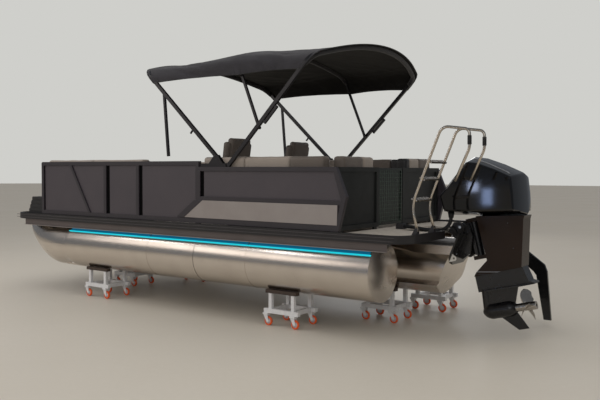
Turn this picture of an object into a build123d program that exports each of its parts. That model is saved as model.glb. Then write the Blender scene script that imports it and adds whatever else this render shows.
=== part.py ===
from build123d import *
import os
from math import atan, cos, radians, sin, sqrt, tan

# Pontoon boat on shop dollies, in millimetres.
# +X points aft, +Y to starboard, +Z up. The floor is Z 0 and the origin is under the middle.
# A lead is a distance ahead of the side tubes' rear ends and a reach is one behind them.

os.makedirs("parts", exist_ok=True)

# Clearances
seat_gap = 0.3          # between a piece and its seat
swing_gap = 8.0         # between a moving piece and what it passes

# Shop dollies
wheel_diameter = 104.0
wheel_width = 34.0
wheel_chamfer = 6.0
hub_width = 40.0
hub_radius = 20.0
axle_radius = 6.0
caster_height = 146.0   # floor to the underside of the dolly frame
caster_spacing = 375.0  # between the axles of one dolly
caster_track = 344.0
caster_trail = 26.0     # axle behind its swivel
fork_wall = 4.0
fork_width = 34.0
swivel_plate = 6.0
dolly_length = 475.0
dolly_bar = 50.0
post_section = 42.0
post_spacing = 314.0
post_height = 178.0
pad_thickness = 40.0
pad_width = 62.0
pad_length = 430.0
pad_offset = 165.0      # pad from the tube's middle

# Tubes
tube_diameter = 635.0
tube_spacing = 949.0    # side tube from the middle of the boat
tail_x = 2420.2         # rear end of the side tubes
tube_run = 4880.0       # straight part of a side tube
nose_run = 1250.0
tail_dome = 30.0
seam_width = 14.0
seam_height = 2.0
seam_count = 2
stern_reach = 385.0     # raked stern plate at the tube's middle height
stern_rake = 22.0
riser_offset = 130.0
riser_wall = 6.0
riser_flange = 40.0
riser_rise = 11.0       # deck channels above the tube's top
riser_lead = 5480.0
keel_width = 8.0
keel_depth = 12.0
strake_angle = 38.0     # below the tube's middle
strake_reach = 46.0
strake_lead = 4100.0

# Deck
channel_height = 50.0
channel_width = 60.0
channel_wall = 5.0
channel_count = 16
channel_pitch = 400.0
channel_lead = 5900.0
channel_inset = 40.0    # channel's end from the rub rail
deck_thickness = 20.0
deck_lead = 6150.0
platform_reach = 430.0
half_beam = 1285.0
bow_radius = 300.0
stern_radius = 220.0
rub_rail_width = 35.0
rub_rail_lip = 22.0
rub_rail_drop = 62.0
well_half_width = 380.0
well_depth = 560.0      # motor well ahead of the deck's rear edge
well_radius = 60.0
skirt_height = 88.0
skirt_wall = 5.0
skirt_lip = 26.0
light_width = 12.0
light_height = 9.0
light_angle = 38.0      # above the side tube's middle

# Motor pod and transom
pod_half_width = 280.0
pod_lead = 500.0
pod_depth = 205.0       # pod's lower edge at the stern, below the channels
pod_rise = 120.0        # lower edge's rise to the front
pod_recess = 80.0       # pod's top below the channels, inside the well
transom_thickness = 20.0
transom_half_width = 300.0
transom_low = 740.0
transom_corner = 120.0
transom_rise = 58.0     # transom's top above the channels' underside

# Fences
fence_inset = 35.0       # fences stand in from the rub rails
fence_depth = 50.0
fence_bar = 50.0
fence_gap = 26.0        # under the fence, bridged by its feet
fence_front_lead = 5452.0
fence_step_lead = 2345.0
fence_aft_lead = 400.0
fence_tip_lead = 270.0
fence_foot_lead = 367.0
post_leads = [4056.0, 3418.0]
front_height = 767.0    # front part's top above the deck
rear_height = 698.0
tip_height = 390.0
rear_mid_low = 300.0
rear_mid_high = 345.0
rear_sill = 64.0
panel_wall = 5.0
panel_recess = 18.0
accent_wall = 4.0
corner_radius = 28.0
brace_width = 44.0
brace_top_lead = 4786.0
brace_foot_lead = 4387.0
foot_length = 60.0

# Gates
stern_fence_lead = 430.0
stern_fence_depth = 40.0
stern_gate_port = 360.0
stern_gate_starboard = 220.0
bow_gate_half = 330.0
gate_bar = 32.0
gate_depth = 30.0
gate_low = 36.0         # gate's lower edge above the deck
gate_set = 5.0          # gate's face inside the fence's face
pin_radius = 4.0
knuckle_radius = 9.0
knuckle_length = 40.0
lug_wall = 6.0

# Louvred vents on the bow corners
vent_length = 350.0
vent_top_length = 230.0
vent_height = 262.0
vent_width = 210.0
vent_gap = 40.0
vent_inset = 30.0
slot_count = 4
slot_height = 18.0
slot_depth = 8.0

# Seats
bench_height = 340.0
bench_depth = 590.0
kick_depth = 60.0
kick_height = 90.0
cushion_thickness = 118.0
back_thickness = 135.0
back_stand = 14.0       # back cushion off the fence
back_top_front = 790.0  # back cushion's top above the deck
back_top_rear = 812.0
cushion_round = 24.0
cushion_joint = 4.0
seat_front_lead = 5370.0
seat_front_end_lead = 3380.0
rear_seat_lead = 1930.0
rear_back_lead = 2320.0
rear_seat_end_lead = 590.0
stern_back_gap = 50.0
chair_lead = 2500.0
chair_offset = 640.0
chair_seat_height = 400.0
chair_top = 1055.0
chair_width = 500.0
chair_depth = 480.0
chair_pad = 130.0
chair_corner = 70.0
back_width = 460.0
back_wall = 110.0
back_lean = 8.0
arm_width = 55.0
pedestal_radius = 38.0
pedestal_base = 150.0
pedestal_plate = 12.0
swivel_top = 110.0

# Helm
console_lead = 3560.0
console_depth = 480.0
console_inner = 270.0
console_inset = 60.0     # in from the fence
console_height = 790.0
helm_offset = 640.0
helm_radius = 170.0
helm_rim = 13.0
helm_stand = 95.0
helm_hub = 34.0
helm_shaft = 20.0

# Bimini top
leg_inset = 40.0         # in from the fence
leg_section = 42.0
arch_section = 36.0
brace_section = 28.0
brace_inset = 45.0      # middle bow inside the legs
roof_crown = 3180.0   # of the end bows' middle lines
middle_rise = 58.0      # middle bow's crown over theirs
roof_radius = 3650.0   # seen from behind
roof_slope = 15.3       # towards the eaves, seen from behind
eave_radius = 140.0
crown_room = 0.98       # share of the eave's straight that the crown's bend may take
front_lean = 47.6       # each bow lies in the leaning plane of its legs
middle_lean = 22.6
rear_lean = 44.6
leg_top = 2950.0        # height that the shares of a leg run to
mount_front_lead = 2330.0
mount_rear_lead = 1930.0
mount_rise = 40.0
front_foot_lead = 2085.0
front_foot_rise = 117.0     # above the rear part of the fence
rear_foot_lead = 1895.0
foot_boss = 24.0
foot_pin = 6.0
cheek_wall = 5.0
pivot_share = 0.37          # middle bow's pivot along the rear leg
canopy_wall = 6.0
canopy_stand = 0.6          # cloth off the legs
canopy_hang = 32.0          # beyond the end bows
canopy_hem = 2840.0
strut_section = 30.0
strut_share = 0.775         # strut's top along the front leg
strut_foot_lead = 2890.0
strut_foot_z = 1930.0
knob_share = 0.33
knob_reach = 75.0
damper_section = 26.0
damper_drop = 48.0
damper_shares = (0.44, 0.60)

# Outboard motor, about its tilt pivot
pivot_reach = 500.0
pivot_z = 1150.0
trim_angle = 14.0       # leg tilted with its foot aft
swivel_offset = 110.0   # steering axis behind the pivot, square to the leg
swivel_radius = 30.0
sleeve_radius = 42.0
sleeve_low = -340.0
sleeve_high = 30.0
yoke_height = 42.0
yoke_half_width = 50.0
yoke_front = 40.0
clamp_inner = 95.0
clamp_outer = 120.0
clamp_flange = 170.0
clamp_wall = 14.0
tilt_tube_radius = 18.0
tilt_tube_half = 140.0
cowl_half_width = 290.0
cowl_taper = 11.0
block_half_width = 170.0
leg_half_width = 118.0
gearcase_half_width = 88.0
plate_half_width = 150.0
plate_wall = 14.0
foil_half_width = 38.0
prop_axis = -955.0      # propeller shaft below the pivot, along the leg
bullet_radius = 86.0
bullet_front = -10.0
bullet_rear = 370.0
skeg_wall = 14.0
shaft_radius = 15.0
prop_radius = 186.0
prop_hub_radius = 44.0
prop_hub_length = 215.0
blade_count = 3
blade_centre = 118.0    # blade's middle behind the hub's front
hose_radius = 20.0
boot_width = 90.0
boot_length = 90.0
boot_height = 62.0

# Boarding ladder
ladder_radius = 14.0
ladder_port = 980.0
ladder_starboard = 600.0
ladder_hinge_reach = 400.0
ladder_hinge_rise = 66.0
ladder_boss = 19.0
ladder_shoulder = 1.5    # boss wider than its rail, each side
tread_width = 62.0
tread_wall = 20.0
tread_heights = [368.0, 580.0, 752.0]
grip_radius = 20.0
bracket_wall = 6.0
bracket_pin = 5.0

# Stern anchor arm and towing eyes
anchor_offset = 750.0
anchor_half_wall = 17.0
anchor_pivot_reach = 484.0
anchor_pivot_z = 1010.0
anchor_boss = 28.0
anchor_pin = 8.0
eye_offset = 270.0
eye_z = 820.0
eye_wall = 10.0
eye_radius = 28.0
eye_hole = 13.0
eye_stand = 34.0

# Worked out from the sizes above
tube_radius = tube_diameter / 2
pad_top = caster_height + dolly_bar + post_height + pad_thickness
tube_z = pad_top + seat_gap + sqrt(tube_radius**2 - (pad_offset - pad_width / 2) ** 2)
channel_low = tube_z + tube_radius + riser_rise
deck_low = channel_low + channel_height
deck_top = deck_low + deck_thickness
bow_x = tail_x - deck_lead
stern_x = tail_x + platform_reach
nose_x = tail_x - tube_run
fence_low = deck_top + fence_gap
middle_crown = roof_crown + middle_rise
fence_half_width = half_beam - fence_inset
leg_offset = fence_half_width - leg_inset
console_outer = fence_half_width - console_inset
fence_inner = fence_half_width - fence_depth
front_top = deck_top + front_height
rear_top = deck_top + rear_height
deck_half = half_beam - rub_rail_width


def side_plane(y):
    """Plane that faces port at y, with its x along the boat and its y up."""
    return Plane(origin=(0, y, 0), x_dir=(1, 0, 0), z_dir=(0, -1, 0))


def cross_plane(x):
    """Plane that faces aft at x, with its x to starboard and its y up."""
    return Plane(origin=(x, 0, 0), x_dir=(0, 1, 0), z_dir=(1, 0, 0))


def save(builder, name):
    """Label a finished piece and write its STEP file."""
    builder.part.label = name
    export_step(builder.part, f"parts/{name}.step")


def slab(plane, points, thickness, both=False):
    """Straight-sided plate from an outline on a plane."""
    with BuildPart() as plate:
        with BuildSketch(plane):
            with BuildLine():
                Polyline(*points, close=True)
            make_face()
        extrude(amount=thickness, both=both)
    return plate.part


def bar(start, end, width, depth, side=(0, 1, 0)):
    """Square-cut bar between two points, with its width along side."""
    run = Vector(*end) - Vector(*start)
    with BuildPart() as piece:
        with BuildSketch(Plane(origin=start, x_dir=side, z_dir=run.normalized())):
            Rectangle(width, depth)
        extrude(amount=run.length)
    return piece.part


def rod(start, end, radius):
    """Round rod between two points."""
    run = Vector(*end) - Vector(*start)
    with BuildPart() as piece:
        with BuildSketch(Plane(origin=start, z_dir=run.normalized())):
            Circle(radius)
        extrude(amount=run.length)
    return piece.part


def cross_rod(x, z, low_y, high_y, radius):
    """Round rod across the boat."""
    return rod((x, low_y, z), (x, high_y, z), radius)


# Tubes

# Columns: share of the nose's length, then half breadth, shoulder, keel and crown in radii
nose_sections = [
    (0.00, 1.000, 0.000, -1.000, 1.000),
    (0.30, 0.950, 0.010, -0.985, 0.998),
    (0.58, 0.760, 0.110, -0.800, 0.990),
    (0.77, 0.520, 0.290, -0.190, 0.975),
    (0.90, 0.290, 0.600, 0.390, 0.960),
    (0.99, 0.070, 0.900, 0.850, 0.945),
]
round_share = sqrt(0.5)     # middle point of a round quarter
vee_loss = 0.12             # less than that at the tip, where the bottom is a V


def nose_section(centre_y, row):
    """One section of the nose: a rounded top above a bottom that sharpens forward."""
    share, breadth, shoulder, keel, crown = row
    fair = round_share - vee_loss * share
    half = breadth * tube_radius
    side_z = tube_z + shoulder * tube_radius
    keel_z = tube_z + keel * tube_radius
    crown_z = tube_z + crown * tube_radius
    top_rise = (crown_z - side_z) * round_share
    low_drop = (side_z - keel_z) * fair
    crown_point = (centre_y, crown_z)
    keel_point = (centre_y, keel_z)
    with BuildSketch(cross_plane(nose_x - share * nose_run)) as section:
        with BuildLine():
            for sign in (-1, 1):
                side_point = (centre_y + sign * half, side_z)
                top_middle = (centre_y + sign * half * round_share, side_z + top_rise)
                low_middle = (centre_y + sign * half * fair, side_z - low_drop)
                ThreePointArc(crown_point, top_middle, side_point)
                ThreePointArc(side_point, low_middle, keel_point)
        make_face()
    return section.sketch


def keel_line(grow):
    """Keel line from aft to the tip, moved outwards."""
    points = [(nose_x + 2 * keel_depth, tube_z - tube_radius - grow)]
    for share, breadth, shoulder, keel, crown in nose_sections:
        point_x = nose_x - share * (nose_run + grow)
        points.append((point_x, tube_z + keel * tube_radius - grow))
    return points


def pontoon(centre_y, tail_end):
    """Tube with a pointed nose, deck risers, chamber seams and a keel strip."""
    keel_outline = keel_line(keel_depth) + keel_line(-keel_depth)[::-1]
    riser_low = tube_z + sqrt(tube_radius**2 - riser_offset**2) - 4 * riser_wall
    keel = slab(side_plane(centre_y), keel_outline, keel_width / 2, both=True)
    with BuildPart() as hull:
        with BuildSketch(cross_plane(nose_x)):
            with Locations((centre_y, tube_z)):
                Circle(tube_radius)
        extrude(amount=tail_end - nose_x)
        loft(sections=[nose_section(centre_y, row) for row in nose_sections])
        add(keel)
        for step in range(seam_count):
            seam_x = nose_x + (step + 1) * tube_run / (seam_count + 1)
            with BuildSketch(cross_plane(seam_x)):
                with Locations((centre_y, tube_z)):
                    Circle(tube_radius + seam_height)
            extrude(amount=seam_width)
        for sign in (-1, 1):
            wall_y = centre_y + sign * riser_offset
            flange_y = wall_y + sign * (riser_flange - riser_wall) / 2
            with BuildSketch(cross_plane(tail_x - riser_lead)):
                with Locations((wall_y, (riser_low + channel_low) / 2)):
                    Rectangle(riser_wall, channel_low - riser_low)
                with Locations((flange_y, channel_low - riser_wall / 2)):
                    Rectangle(riser_flange, riser_wall)
            extrude(amount=riser_lead - tail_dome)
    return hull.part


side_hull = pontoon(-tube_spacing, tail_x)
with BuildPart() as port_pontoon:
    add(side_hull)
    with BuildSketch(Plane(origin=(tail_x, -tube_spacing, tube_z), x_dir=(1, 0, 0), z_dir=(0, -1, 0))):
        with BuildLine():
            ThreePointArc((0, tube_radius), (tail_dome * 0.75, tube_radius / 2), (tail_dome, 0))
            Line((tail_dome, 0), (0, 0))
            Line((0, 0), (0, tube_radius))
        make_face()
    revolve(axis=Axis((tail_x, -tube_spacing, tube_z), (1, 0, 0)))
save(port_pontoon, "port_pontoon")

with BuildPart() as starboard_pontoon:
    mirror(port_pontoon.part, about=Plane.XZ)
save(starboard_pontoon, "starboard_pontoon")

rake = radians(stern_rake)
stern_plate = Plane(
    origin=(tail_x + stern_reach, 0, tube_z), x_dir=(0, 1, 0), z_dir=(cos(rake), 0, -sin(rake))
)


def stern_face_x(z, stand=0):
    """X of the raked stern plate at a height, moved aft square to the plate."""
    return tail_x + stern_reach + (z - tube_z) * tan(rake) + stand / cos(rake)


centre_hull = pontoon(0, tail_x + 2 * stern_reach)
strake_high = radians(strake_angle - 6)
strake_foot = radians(strake_angle + 14)
strake_root = tube_radius - 2 * seam_height
strake_tip = tube_radius + strake_reach
strake_points = [
    (strake_root * cos(strake_high), -strake_root * sin(strake_high)),
    (strake_tip * cos(strake_high), -strake_tip * sin(strake_high)),
    (strake_root * cos(strake_foot), -strake_root * sin(strake_foot)),
]
with BuildPart() as centre_pontoon:
    add(centre_hull)
    for side in (-1, 1):
        with BuildSketch(cross_plane(tail_x - strake_lead)):
            with BuildLine():
                Polyline(*[(side * y, tube_z + z) for y, z in strake_points], close=True)
            make_face()
        extrude(amount=strake_lead + 2 * stern_reach)
    split(bisect_by=stern_plate, keep=Keep.BOTTOM)
save(centre_pontoon, "centre_pontoon")

# Motor pod over the centre tube, closed at the stern by the raked transom
pod_front_x = tail_x - pod_lead
well_front_x = stern_x - well_depth
pod_outline = [
    (pod_front_x, channel_low - pod_depth + pod_rise),
    (pod_front_x, channel_low),
    (well_front_x, channel_low),
    (well_front_x, channel_low - pod_recess),
    (stern_x + pod_lead, channel_low - pod_recess),
    (stern_x + pod_lead, channel_low - pod_depth - pod_rise),
]
with BuildPart() as motor_pod:
    add(slab(side_plane(0), pod_outline, pod_half_width, both=True))
    split(bisect_by=stern_plate.offset(-seat_gap), keep=Keep.BOTTOM)
    with BuildSketch(cross_plane(pod_front_x)):
        with Locations((0, tube_z)):
            Circle(tube_radius + seam_height + seat_gap)
    extrude(amount=pod_lead + 2 * stern_reach, mode=Mode.SUBTRACT)
    with BuildSketch(cross_plane(pod_front_x)):
        with Locations((0, channel_low)):
            Rectangle(2 * (riser_offset + riser_flange + seat_gap), 4 * riser_flange)
    extrude(amount=pod_lead - tail_dome + seat_gap, mode=Mode.SUBTRACT)
save(motor_pod, "motor_pod")

transom_top = channel_low + transom_rise
transom_outline = [
    (transom_half_width, transom_top),
    (transom_half_width, transom_low + transom_corner),
    (transom_half_width / 2, transom_low),
    (-transom_half_width / 2, transom_low),
    (-transom_half_width, transom_low + transom_corner),
    (-transom_half_width, transom_top),
]
with BuildPart() as transom:
    with BuildSketch(stern_plate.offset(seat_gap)):
        with BuildLine():
            Polyline(*[(y, (z - tube_z) / cos(rake)) for y, z in transom_outline], close=True)
        make_face()
    extrude(amount=transom_thickness)
save(transom, "transom")

# Deck

deck_middle_x = (bow_x + stern_x) / 2


def deck_outline(grow):
    """Rounded outline of the deck, grown outwards from the floor's edge."""
    with BuildSketch() as outline:
        with Locations((deck_middle_x, 0)):
            Rectangle(stern_x - bow_x - 2 * (rub_rail_width - grow), 2 * (deck_half + grow))
        fillet(outline.vertices().group_by(Axis.X)[0], bow_radius - rub_rail_width + grow)
        fillet(outline.vertices().group_by(Axis.X)[-1], stern_radius - rub_rail_width + grow)
    return outline.sketch


floor_outline = deck_outline(0)
rim_outline = deck_outline(rub_rail_width)
with BuildSketch() as well_outline:
    with Locations((stern_x, 0)):
        RectangleRounded(2 * well_depth, 2 * well_half_width, well_radius)

with BuildPart() as cross_channels:
    with BuildSketch(side_plane(0)):
        for step in range(channel_count):
            middle_x = tail_x - channel_lead + step * channel_pitch
            with Locations((middle_x, channel_low + channel_height / 2)):
                Rectangle(channel_width, channel_height)
            with Locations((middle_x, channel_low + channel_height / 2 - channel_wall)):
                Rectangle(channel_width - 2 * channel_wall, channel_height, mode=Mode.SUBTRACT)
    extrude(amount=deck_half - channel_inset, both=True)
    with BuildSketch(Plane.XY.offset(channel_low)):
        add(well_outline.sketch)
    extrude(amount=channel_height, mode=Mode.SUBTRACT)
save(cross_channels, "cross_channels")

with BuildPart() as deck_floor:
    with BuildSketch(Plane.XY.offset(deck_low)):
        add(floor_outline)
        add(well_outline.sketch, mode=Mode.SUBTRACT)
    extrude(amount=deck_thickness)
save(deck_floor, "deck_floor")

# The rail comes in straight lengths between corner pieces
joint_lines = [bow_x + bow_radius, stern_x - stern_radius]
joint_widths = [(bow_x, half_beam - bow_radius), (stern_x, half_beam - stern_radius)]
with BuildPart() as rub_rail:
    with BuildSketch(Plane.XY.offset(deck_top - rub_rail_drop)):
        add(rim_outline)
        add(floor_outline, mode=Mode.SUBTRACT)
        add(well_outline.sketch, mode=Mode.SUBTRACT)
        for line in joint_lines:
            with Locations((line, 0)):
                Rectangle(seat_gap, 4 * half_beam, mode=Mode.SUBTRACT)
        for line, width in joint_widths:
            with Locations((line, -width), (line, width)):
                Rectangle(4 * rub_rail_width, seat_gap, mode=Mode.SUBTRACT)
    extrude(amount=rub_rail_drop + rub_rail_lip)
save(rub_rail, "rub_rail")

skirt_top = deck_top - rub_rail_drop
skirt_run = stern_x - stern_radius - bow_x - bow_radius
with BuildPart() as deck_skirts:
    for side in (-1, 1):
        wall_y = side * (deck_half + skirt_wall / 2)
        lip_y = side * (deck_half + skirt_lip / 2)
        with BuildSketch(cross_plane(bow_x + bow_radius)):
            with Locations((wall_y, skirt_top - skirt_height / 2)):
                Rectangle(skirt_wall, skirt_height)
            with Locations((lip_y, skirt_top - skirt_height + skirt_wall / 2)):
                Rectangle(skirt_lip, skirt_wall)
        extrude(amount=skirt_run)
save(deck_skirts, "deck_skirts")

light_rise = radians(light_angle)
light_radius = tube_radius + seam_height + seat_gap + light_height / 2
with BuildPart() as light_strips:
    for side in (-1, 1):
        light_y = side * (tube_spacing + light_radius * cos(light_rise))
        light_z = tube_z + light_radius * sin(light_rise)
        with BuildSketch(cross_plane(nose_x)):
            with Locations((light_y, light_z)):
                Rectangle(light_height, light_width, rotation=side * light_angle)
        extrude(amount=tube_run)
save(light_strips, "light_strips")

# Fences

fence_front_x = tail_x - fence_front_lead
step_x = tail_x - fence_step_lead
aft_x = tail_x - fence_aft_lead
tip_x = tail_x - fence_tip_lead
foot_x = tail_x - fence_foot_lead
mid_low = deck_top + rear_mid_low
mid_high = deck_top + rear_mid_high
sill = fence_low + fence_bar
front_head = front_top - fence_bar
rear_head = rear_top - fence_bar
post_lines = [tail_x - lead for lead in post_leads]
post_edges = [fence_front_x + fence_bar]
for line in post_lines:
    post_edges += [line - fence_bar / 2, line + fence_bar / 2]
post_edges.append(step_x - fence_bar)
windows = list(zip(post_edges[::2], post_edges[1::2]))
brace_top_x = tail_x - brace_top_lead
brace_foot_x = tail_x - brace_foot_lead


def brace_edge(z, stand):
    """X beside the diagonal bar's middle line at a height."""
    rise = (z - sill) / (front_head - sill)
    return brace_foot_x + (brace_top_x - brace_foot_x) * rise + stand


def aft_edge(z, stand):
    """X ahead of the fence's raked rear edge at a height."""
    tip_z = deck_top + tip_height
    if z > tip_z:
        rise = (z - tip_z) / (rear_top - tip_z)
        return tip_x + (aft_x - tip_x) * rise - stand
    rise = (z - fence_low) / (tip_z - fence_low)
    return foot_x + (tip_x - foot_x) * rise - stand


fence_outline = [
    (fence_front_x, fence_low),
    (fence_front_x, front_top),
    (step_x, front_top),
    (step_x, rear_top),
    (aft_x, rear_top),
    (tip_x, deck_top + tip_height),
    (foot_x, fence_low),
]
rear_left = step_x + fence_bar / 2
rear_low = fence_low + rear_sill
upper_window = [
    (rear_left, mid_high),
    (rear_left, rear_head),
    (aft_edge(rear_head, fence_bar), rear_head),
    (aft_edge(mid_high, fence_bar), mid_high),
]
lower_window = [
    (rear_left, rear_low),
    (rear_left, mid_low),
    (aft_edge(mid_low, fence_bar), mid_low),
    (aft_edge(rear_low, fence_bar), rear_low),
]
brace_half = brace_width / 2
brace_outline = [
    (brace_edge(sill - 1, -brace_half), sill - 1),
    (brace_edge(front_head + 1, -brace_half), front_head + 1),
    (brace_edge(front_head + 1, brace_half), front_head + 1),
    (brace_edge(sill - 1, brace_half), sill - 1),
]
foot_lines = [fence_front_x + foot_length, *post_lines, step_x - foot_length / 2]
foot_lines += [(step_x + aft_x) / 2, foot_x - foot_length]
with BuildPart() as port_fence_frame:
    with BuildSketch(side_plane(-fence_inner)):
        with BuildLine():
            Polyline(*fence_outline, close=True)
        make_face()
        for low_x, high_x in windows:
            with Locations(((low_x + high_x) / 2, (sill + front_head) / 2)):
                Rectangle(high_x - low_x, front_head - sill, mode=Mode.SUBTRACT)
        for window in (upper_window, lower_window):
            with BuildLine():
                Polyline(*window, close=True)
            make_face(mode=Mode.SUBTRACT)
    extrude(amount=fence_depth)
    front_edges = port_fence_frame.edges().filter_by(Axis.Y).group_by(Axis.X)[0]
    fillet(front_edges.sort_by(Axis.Z)[-1], corner_radius)
    add(slab(side_plane(-fence_inner), brace_outline, fence_depth))
    with BuildSketch(Plane.XY.offset(deck_top)):
        for line in foot_lines:
            with Locations((line, -fence_half_width + fence_depth / 2)):
                Rectangle(foot_length, fence_depth - 2 * bracket_wall)
    extrude(amount=fence_gap + seat_gap)
save(port_fence_frame, "port_fence_frame")

with BuildPart() as starboard_fence_frame:
    mirror(port_fence_frame.part, about=Plane.XZ)
save(starboard_fence_frame, "starboard_fence_frame")

# Panels fill the windows, the first one in two pieces beside its diagonal bar
first_low, first_high = windows[0]
panel_outlines = [
    [
        (first_low, sill),
        (first_low, front_head),
        (brace_edge(front_head, -brace_half - seat_gap), front_head),
        (brace_edge(sill, -brace_half - seat_gap), sill),
    ],
    [
        (brace_edge(sill, brace_half + seat_gap), sill),
        (brace_edge(front_head, brace_half + seat_gap), front_head),
        (first_high, front_head),
        (first_high, sill),
    ],
]
for low_x, high_x in windows[1:]:
    panel_outlines.append([(low_x, sill), (low_x, front_head), (high_x, front_head), (high_x, sill)])
panel_outlines += [upper_window, lower_window]
panel_y = fence_half_width - panel_recess
with BuildPart() as fence_panels:
    for side in (-1, 1):
        for outline in panel_outlines:
            with BuildSketch(side_plane(side * panel_y)):
                with BuildLine():
                    Polyline(*outline, close=True)
                make_face()
            extrude(amount=side * panel_wall)
save(fence_panels, "fence_panels")

accent_outline = [
    (step_x + 15, mid_low),
    (aft_edge(mid_low, 80), mid_low),
    (aft_edge(rear_low, 30), rear_low),
    (step_x - 290, rear_low),
]
with BuildPart() as accent_panels:
    for side in (-1, 1):
        with BuildSketch(side_plane(side * (fence_half_width + seat_gap))):
            with BuildLine():
                Polyline(*accent_outline, close=True)
            make_face()
        extrude(amount=-side * accent_wall)
save(accent_panels, "accent_panels")


def cross_fence(x, depth, low_y, high_y, top):
    """Framed panel across the boat, between two widths."""
    middle = ((low_y + high_y) / 2, (fence_low + top) / 2)
    with BuildPart() as panel:
        with BuildSketch(cross_plane(x)):
            with Locations(middle):
                Rectangle(high_y - low_y, top - fence_low)
                Rectangle(high_y - low_y - 2 * fence_bar, top - fence_low - 2 * fence_bar, mode=Mode.SUBTRACT)
        extrude(amount=depth)
        with BuildSketch(cross_plane(x + (depth - panel_wall) / 2)):
            with Locations(middle):
                Rectangle(high_y - low_y - fence_bar, top - fence_low - fence_bar)
        extrude(amount=panel_wall)
        with BuildSketch(Plane.XY.offset(deck_top)):
            for foot_y in (low_y + foot_length, high_y - foot_length):
                with Locations((x + depth / 2, foot_y)):
                    Rectangle(depth - 2 * bracket_wall, foot_length)
        extrude(amount=fence_gap + seat_gap)
    return panel.part


def knuckle_heights(top):
    """Heights of the two knuckles of a gate."""
    low_z = deck_top + gate_low
    run = top - low_z - knuckle_length
    return [low_z + 0.15 * run, low_z + 0.85 * run]


def gate(leaf_x, low_y, high_y, top, hinge_x, hinge_y):
    """Framed gate with a panel and the knuckles of its hinge."""
    low_z = deck_top + gate_low
    top_z = top - gate_set
    middle = ((low_y + high_y) / 2, (low_z + top_z) / 2)
    leaf_middle_x = leaf_x + gate_depth / 2
    with BuildPart() as leaf:
        with BuildSketch(cross_plane(leaf_x)):
            with Locations(middle):
                Rectangle(high_y - low_y, top_z - low_z)
                Rectangle(high_y - low_y - 2 * gate_bar, top_z - low_z - 2 * gate_bar, mode=Mode.SUBTRACT)
        extrude(amount=gate_depth)
        with BuildSketch(cross_plane(leaf_middle_x - panel_wall / 2)):
            with Locations(middle):
                Rectangle(high_y - low_y - gate_bar, top_z - low_z - gate_bar)
        extrude(amount=panel_wall)
        for knuckle_z in knuckle_heights(top):
            with BuildSketch(Plane.XY.offset(knuckle_z)):
                with Locations((hinge_x, hinge_y)):
                    Circle(knuckle_radius)
                with Locations(((hinge_x + leaf_middle_x) / 2, hinge_y - swing_gap)):
                    Rectangle(abs(hinge_x - leaf_middle_x), swing_gap)
                with Locations((hinge_x, hinge_y)):
                    Circle(pin_radius + seat_gap, mode=Mode.SUBTRACT)
            extrude(amount=knuckle_length)
    return leaf.part


def gate_lugs(post_x, top, hinge_x, hinge_y):
    """Lugs and pins that carry a gate's knuckles on the fence's post."""
    with BuildPart() as lugs:
        for knuckle_z in knuckle_heights(top):
            for lug_z in (knuckle_z - lug_wall - seat_gap, knuckle_z + knuckle_length + seat_gap):
                with BuildSketch(Plane.XY.offset(lug_z)):
                    with Locations((hinge_x, hinge_y)):
                        Circle(knuckle_radius - 2)
                    with Locations(((hinge_x + post_x) / 2, hinge_y + swing_gap)):
                        Rectangle(abs(hinge_x - post_x) + 2 * knuckle_radius - 4, swing_gap * 2)
                extrude(amount=lug_wall)
            with BuildSketch(Plane.XY.offset(knuckle_z - seat_gap - lug_wall)):
                with Locations((hinge_x, hinge_y)):
                    Circle(pin_radius)
            extrude(amount=knuckle_length + 2 * lug_wall + 2 * seat_gap)
    return lugs.part


fence_seat = fence_inner - seat_gap
stern_fence_x = tail_x - stern_fence_lead
stern_hinge_x = stern_fence_x - knuckle_radius - 1
stern_hinge_y = stern_gate_starboard - swing_gap / 2
with BuildPart() as stern_fence:
    add(cross_fence(stern_fence_x, stern_fence_depth, -fence_seat, -stern_gate_port, rear_top))
    add(cross_fence(stern_fence_x, stern_fence_depth, stern_gate_starboard, fence_seat, rear_top))
    add(gate_lugs(stern_fence_x, rear_top, stern_hinge_x, stern_hinge_y))
save(stern_fence, "stern_fence")

with BuildPart() as stern_gate:
    leaf_sides = (-stern_gate_port + swing_gap, stern_gate_starboard - swing_gap)
    add(gate(stern_fence_x + gate_set, *leaf_sides, rear_top, stern_hinge_x, stern_hinge_y))
save(stern_gate, "stern_gate")

bow_fence_back_x = fence_front_x + fence_depth
bow_hinge_x = bow_fence_back_x + knuckle_radius + 1
bow_hinge_y = bow_gate_half - swing_gap / 2
with BuildPart() as bow_fence:
    add(cross_fence(fence_front_x, fence_depth, -fence_seat, -bow_gate_half, front_top))
    add(cross_fence(fence_front_x, fence_depth, bow_gate_half, fence_seat, front_top))
    add(gate_lugs(bow_fence_back_x, front_top, bow_hinge_x, bow_hinge_y))
save(bow_fence, "bow_fence")

with BuildPart() as bow_gate:
    leaf_x = bow_fence_back_x - gate_depth - gate_set
    leaf_sides = (-bow_gate_half + swing_gap, bow_gate_half - swing_gap)
    add(gate(leaf_x, *leaf_sides, front_top, bow_hinge_x, bow_hinge_y))
save(bow_gate, "bow_gate")

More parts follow.
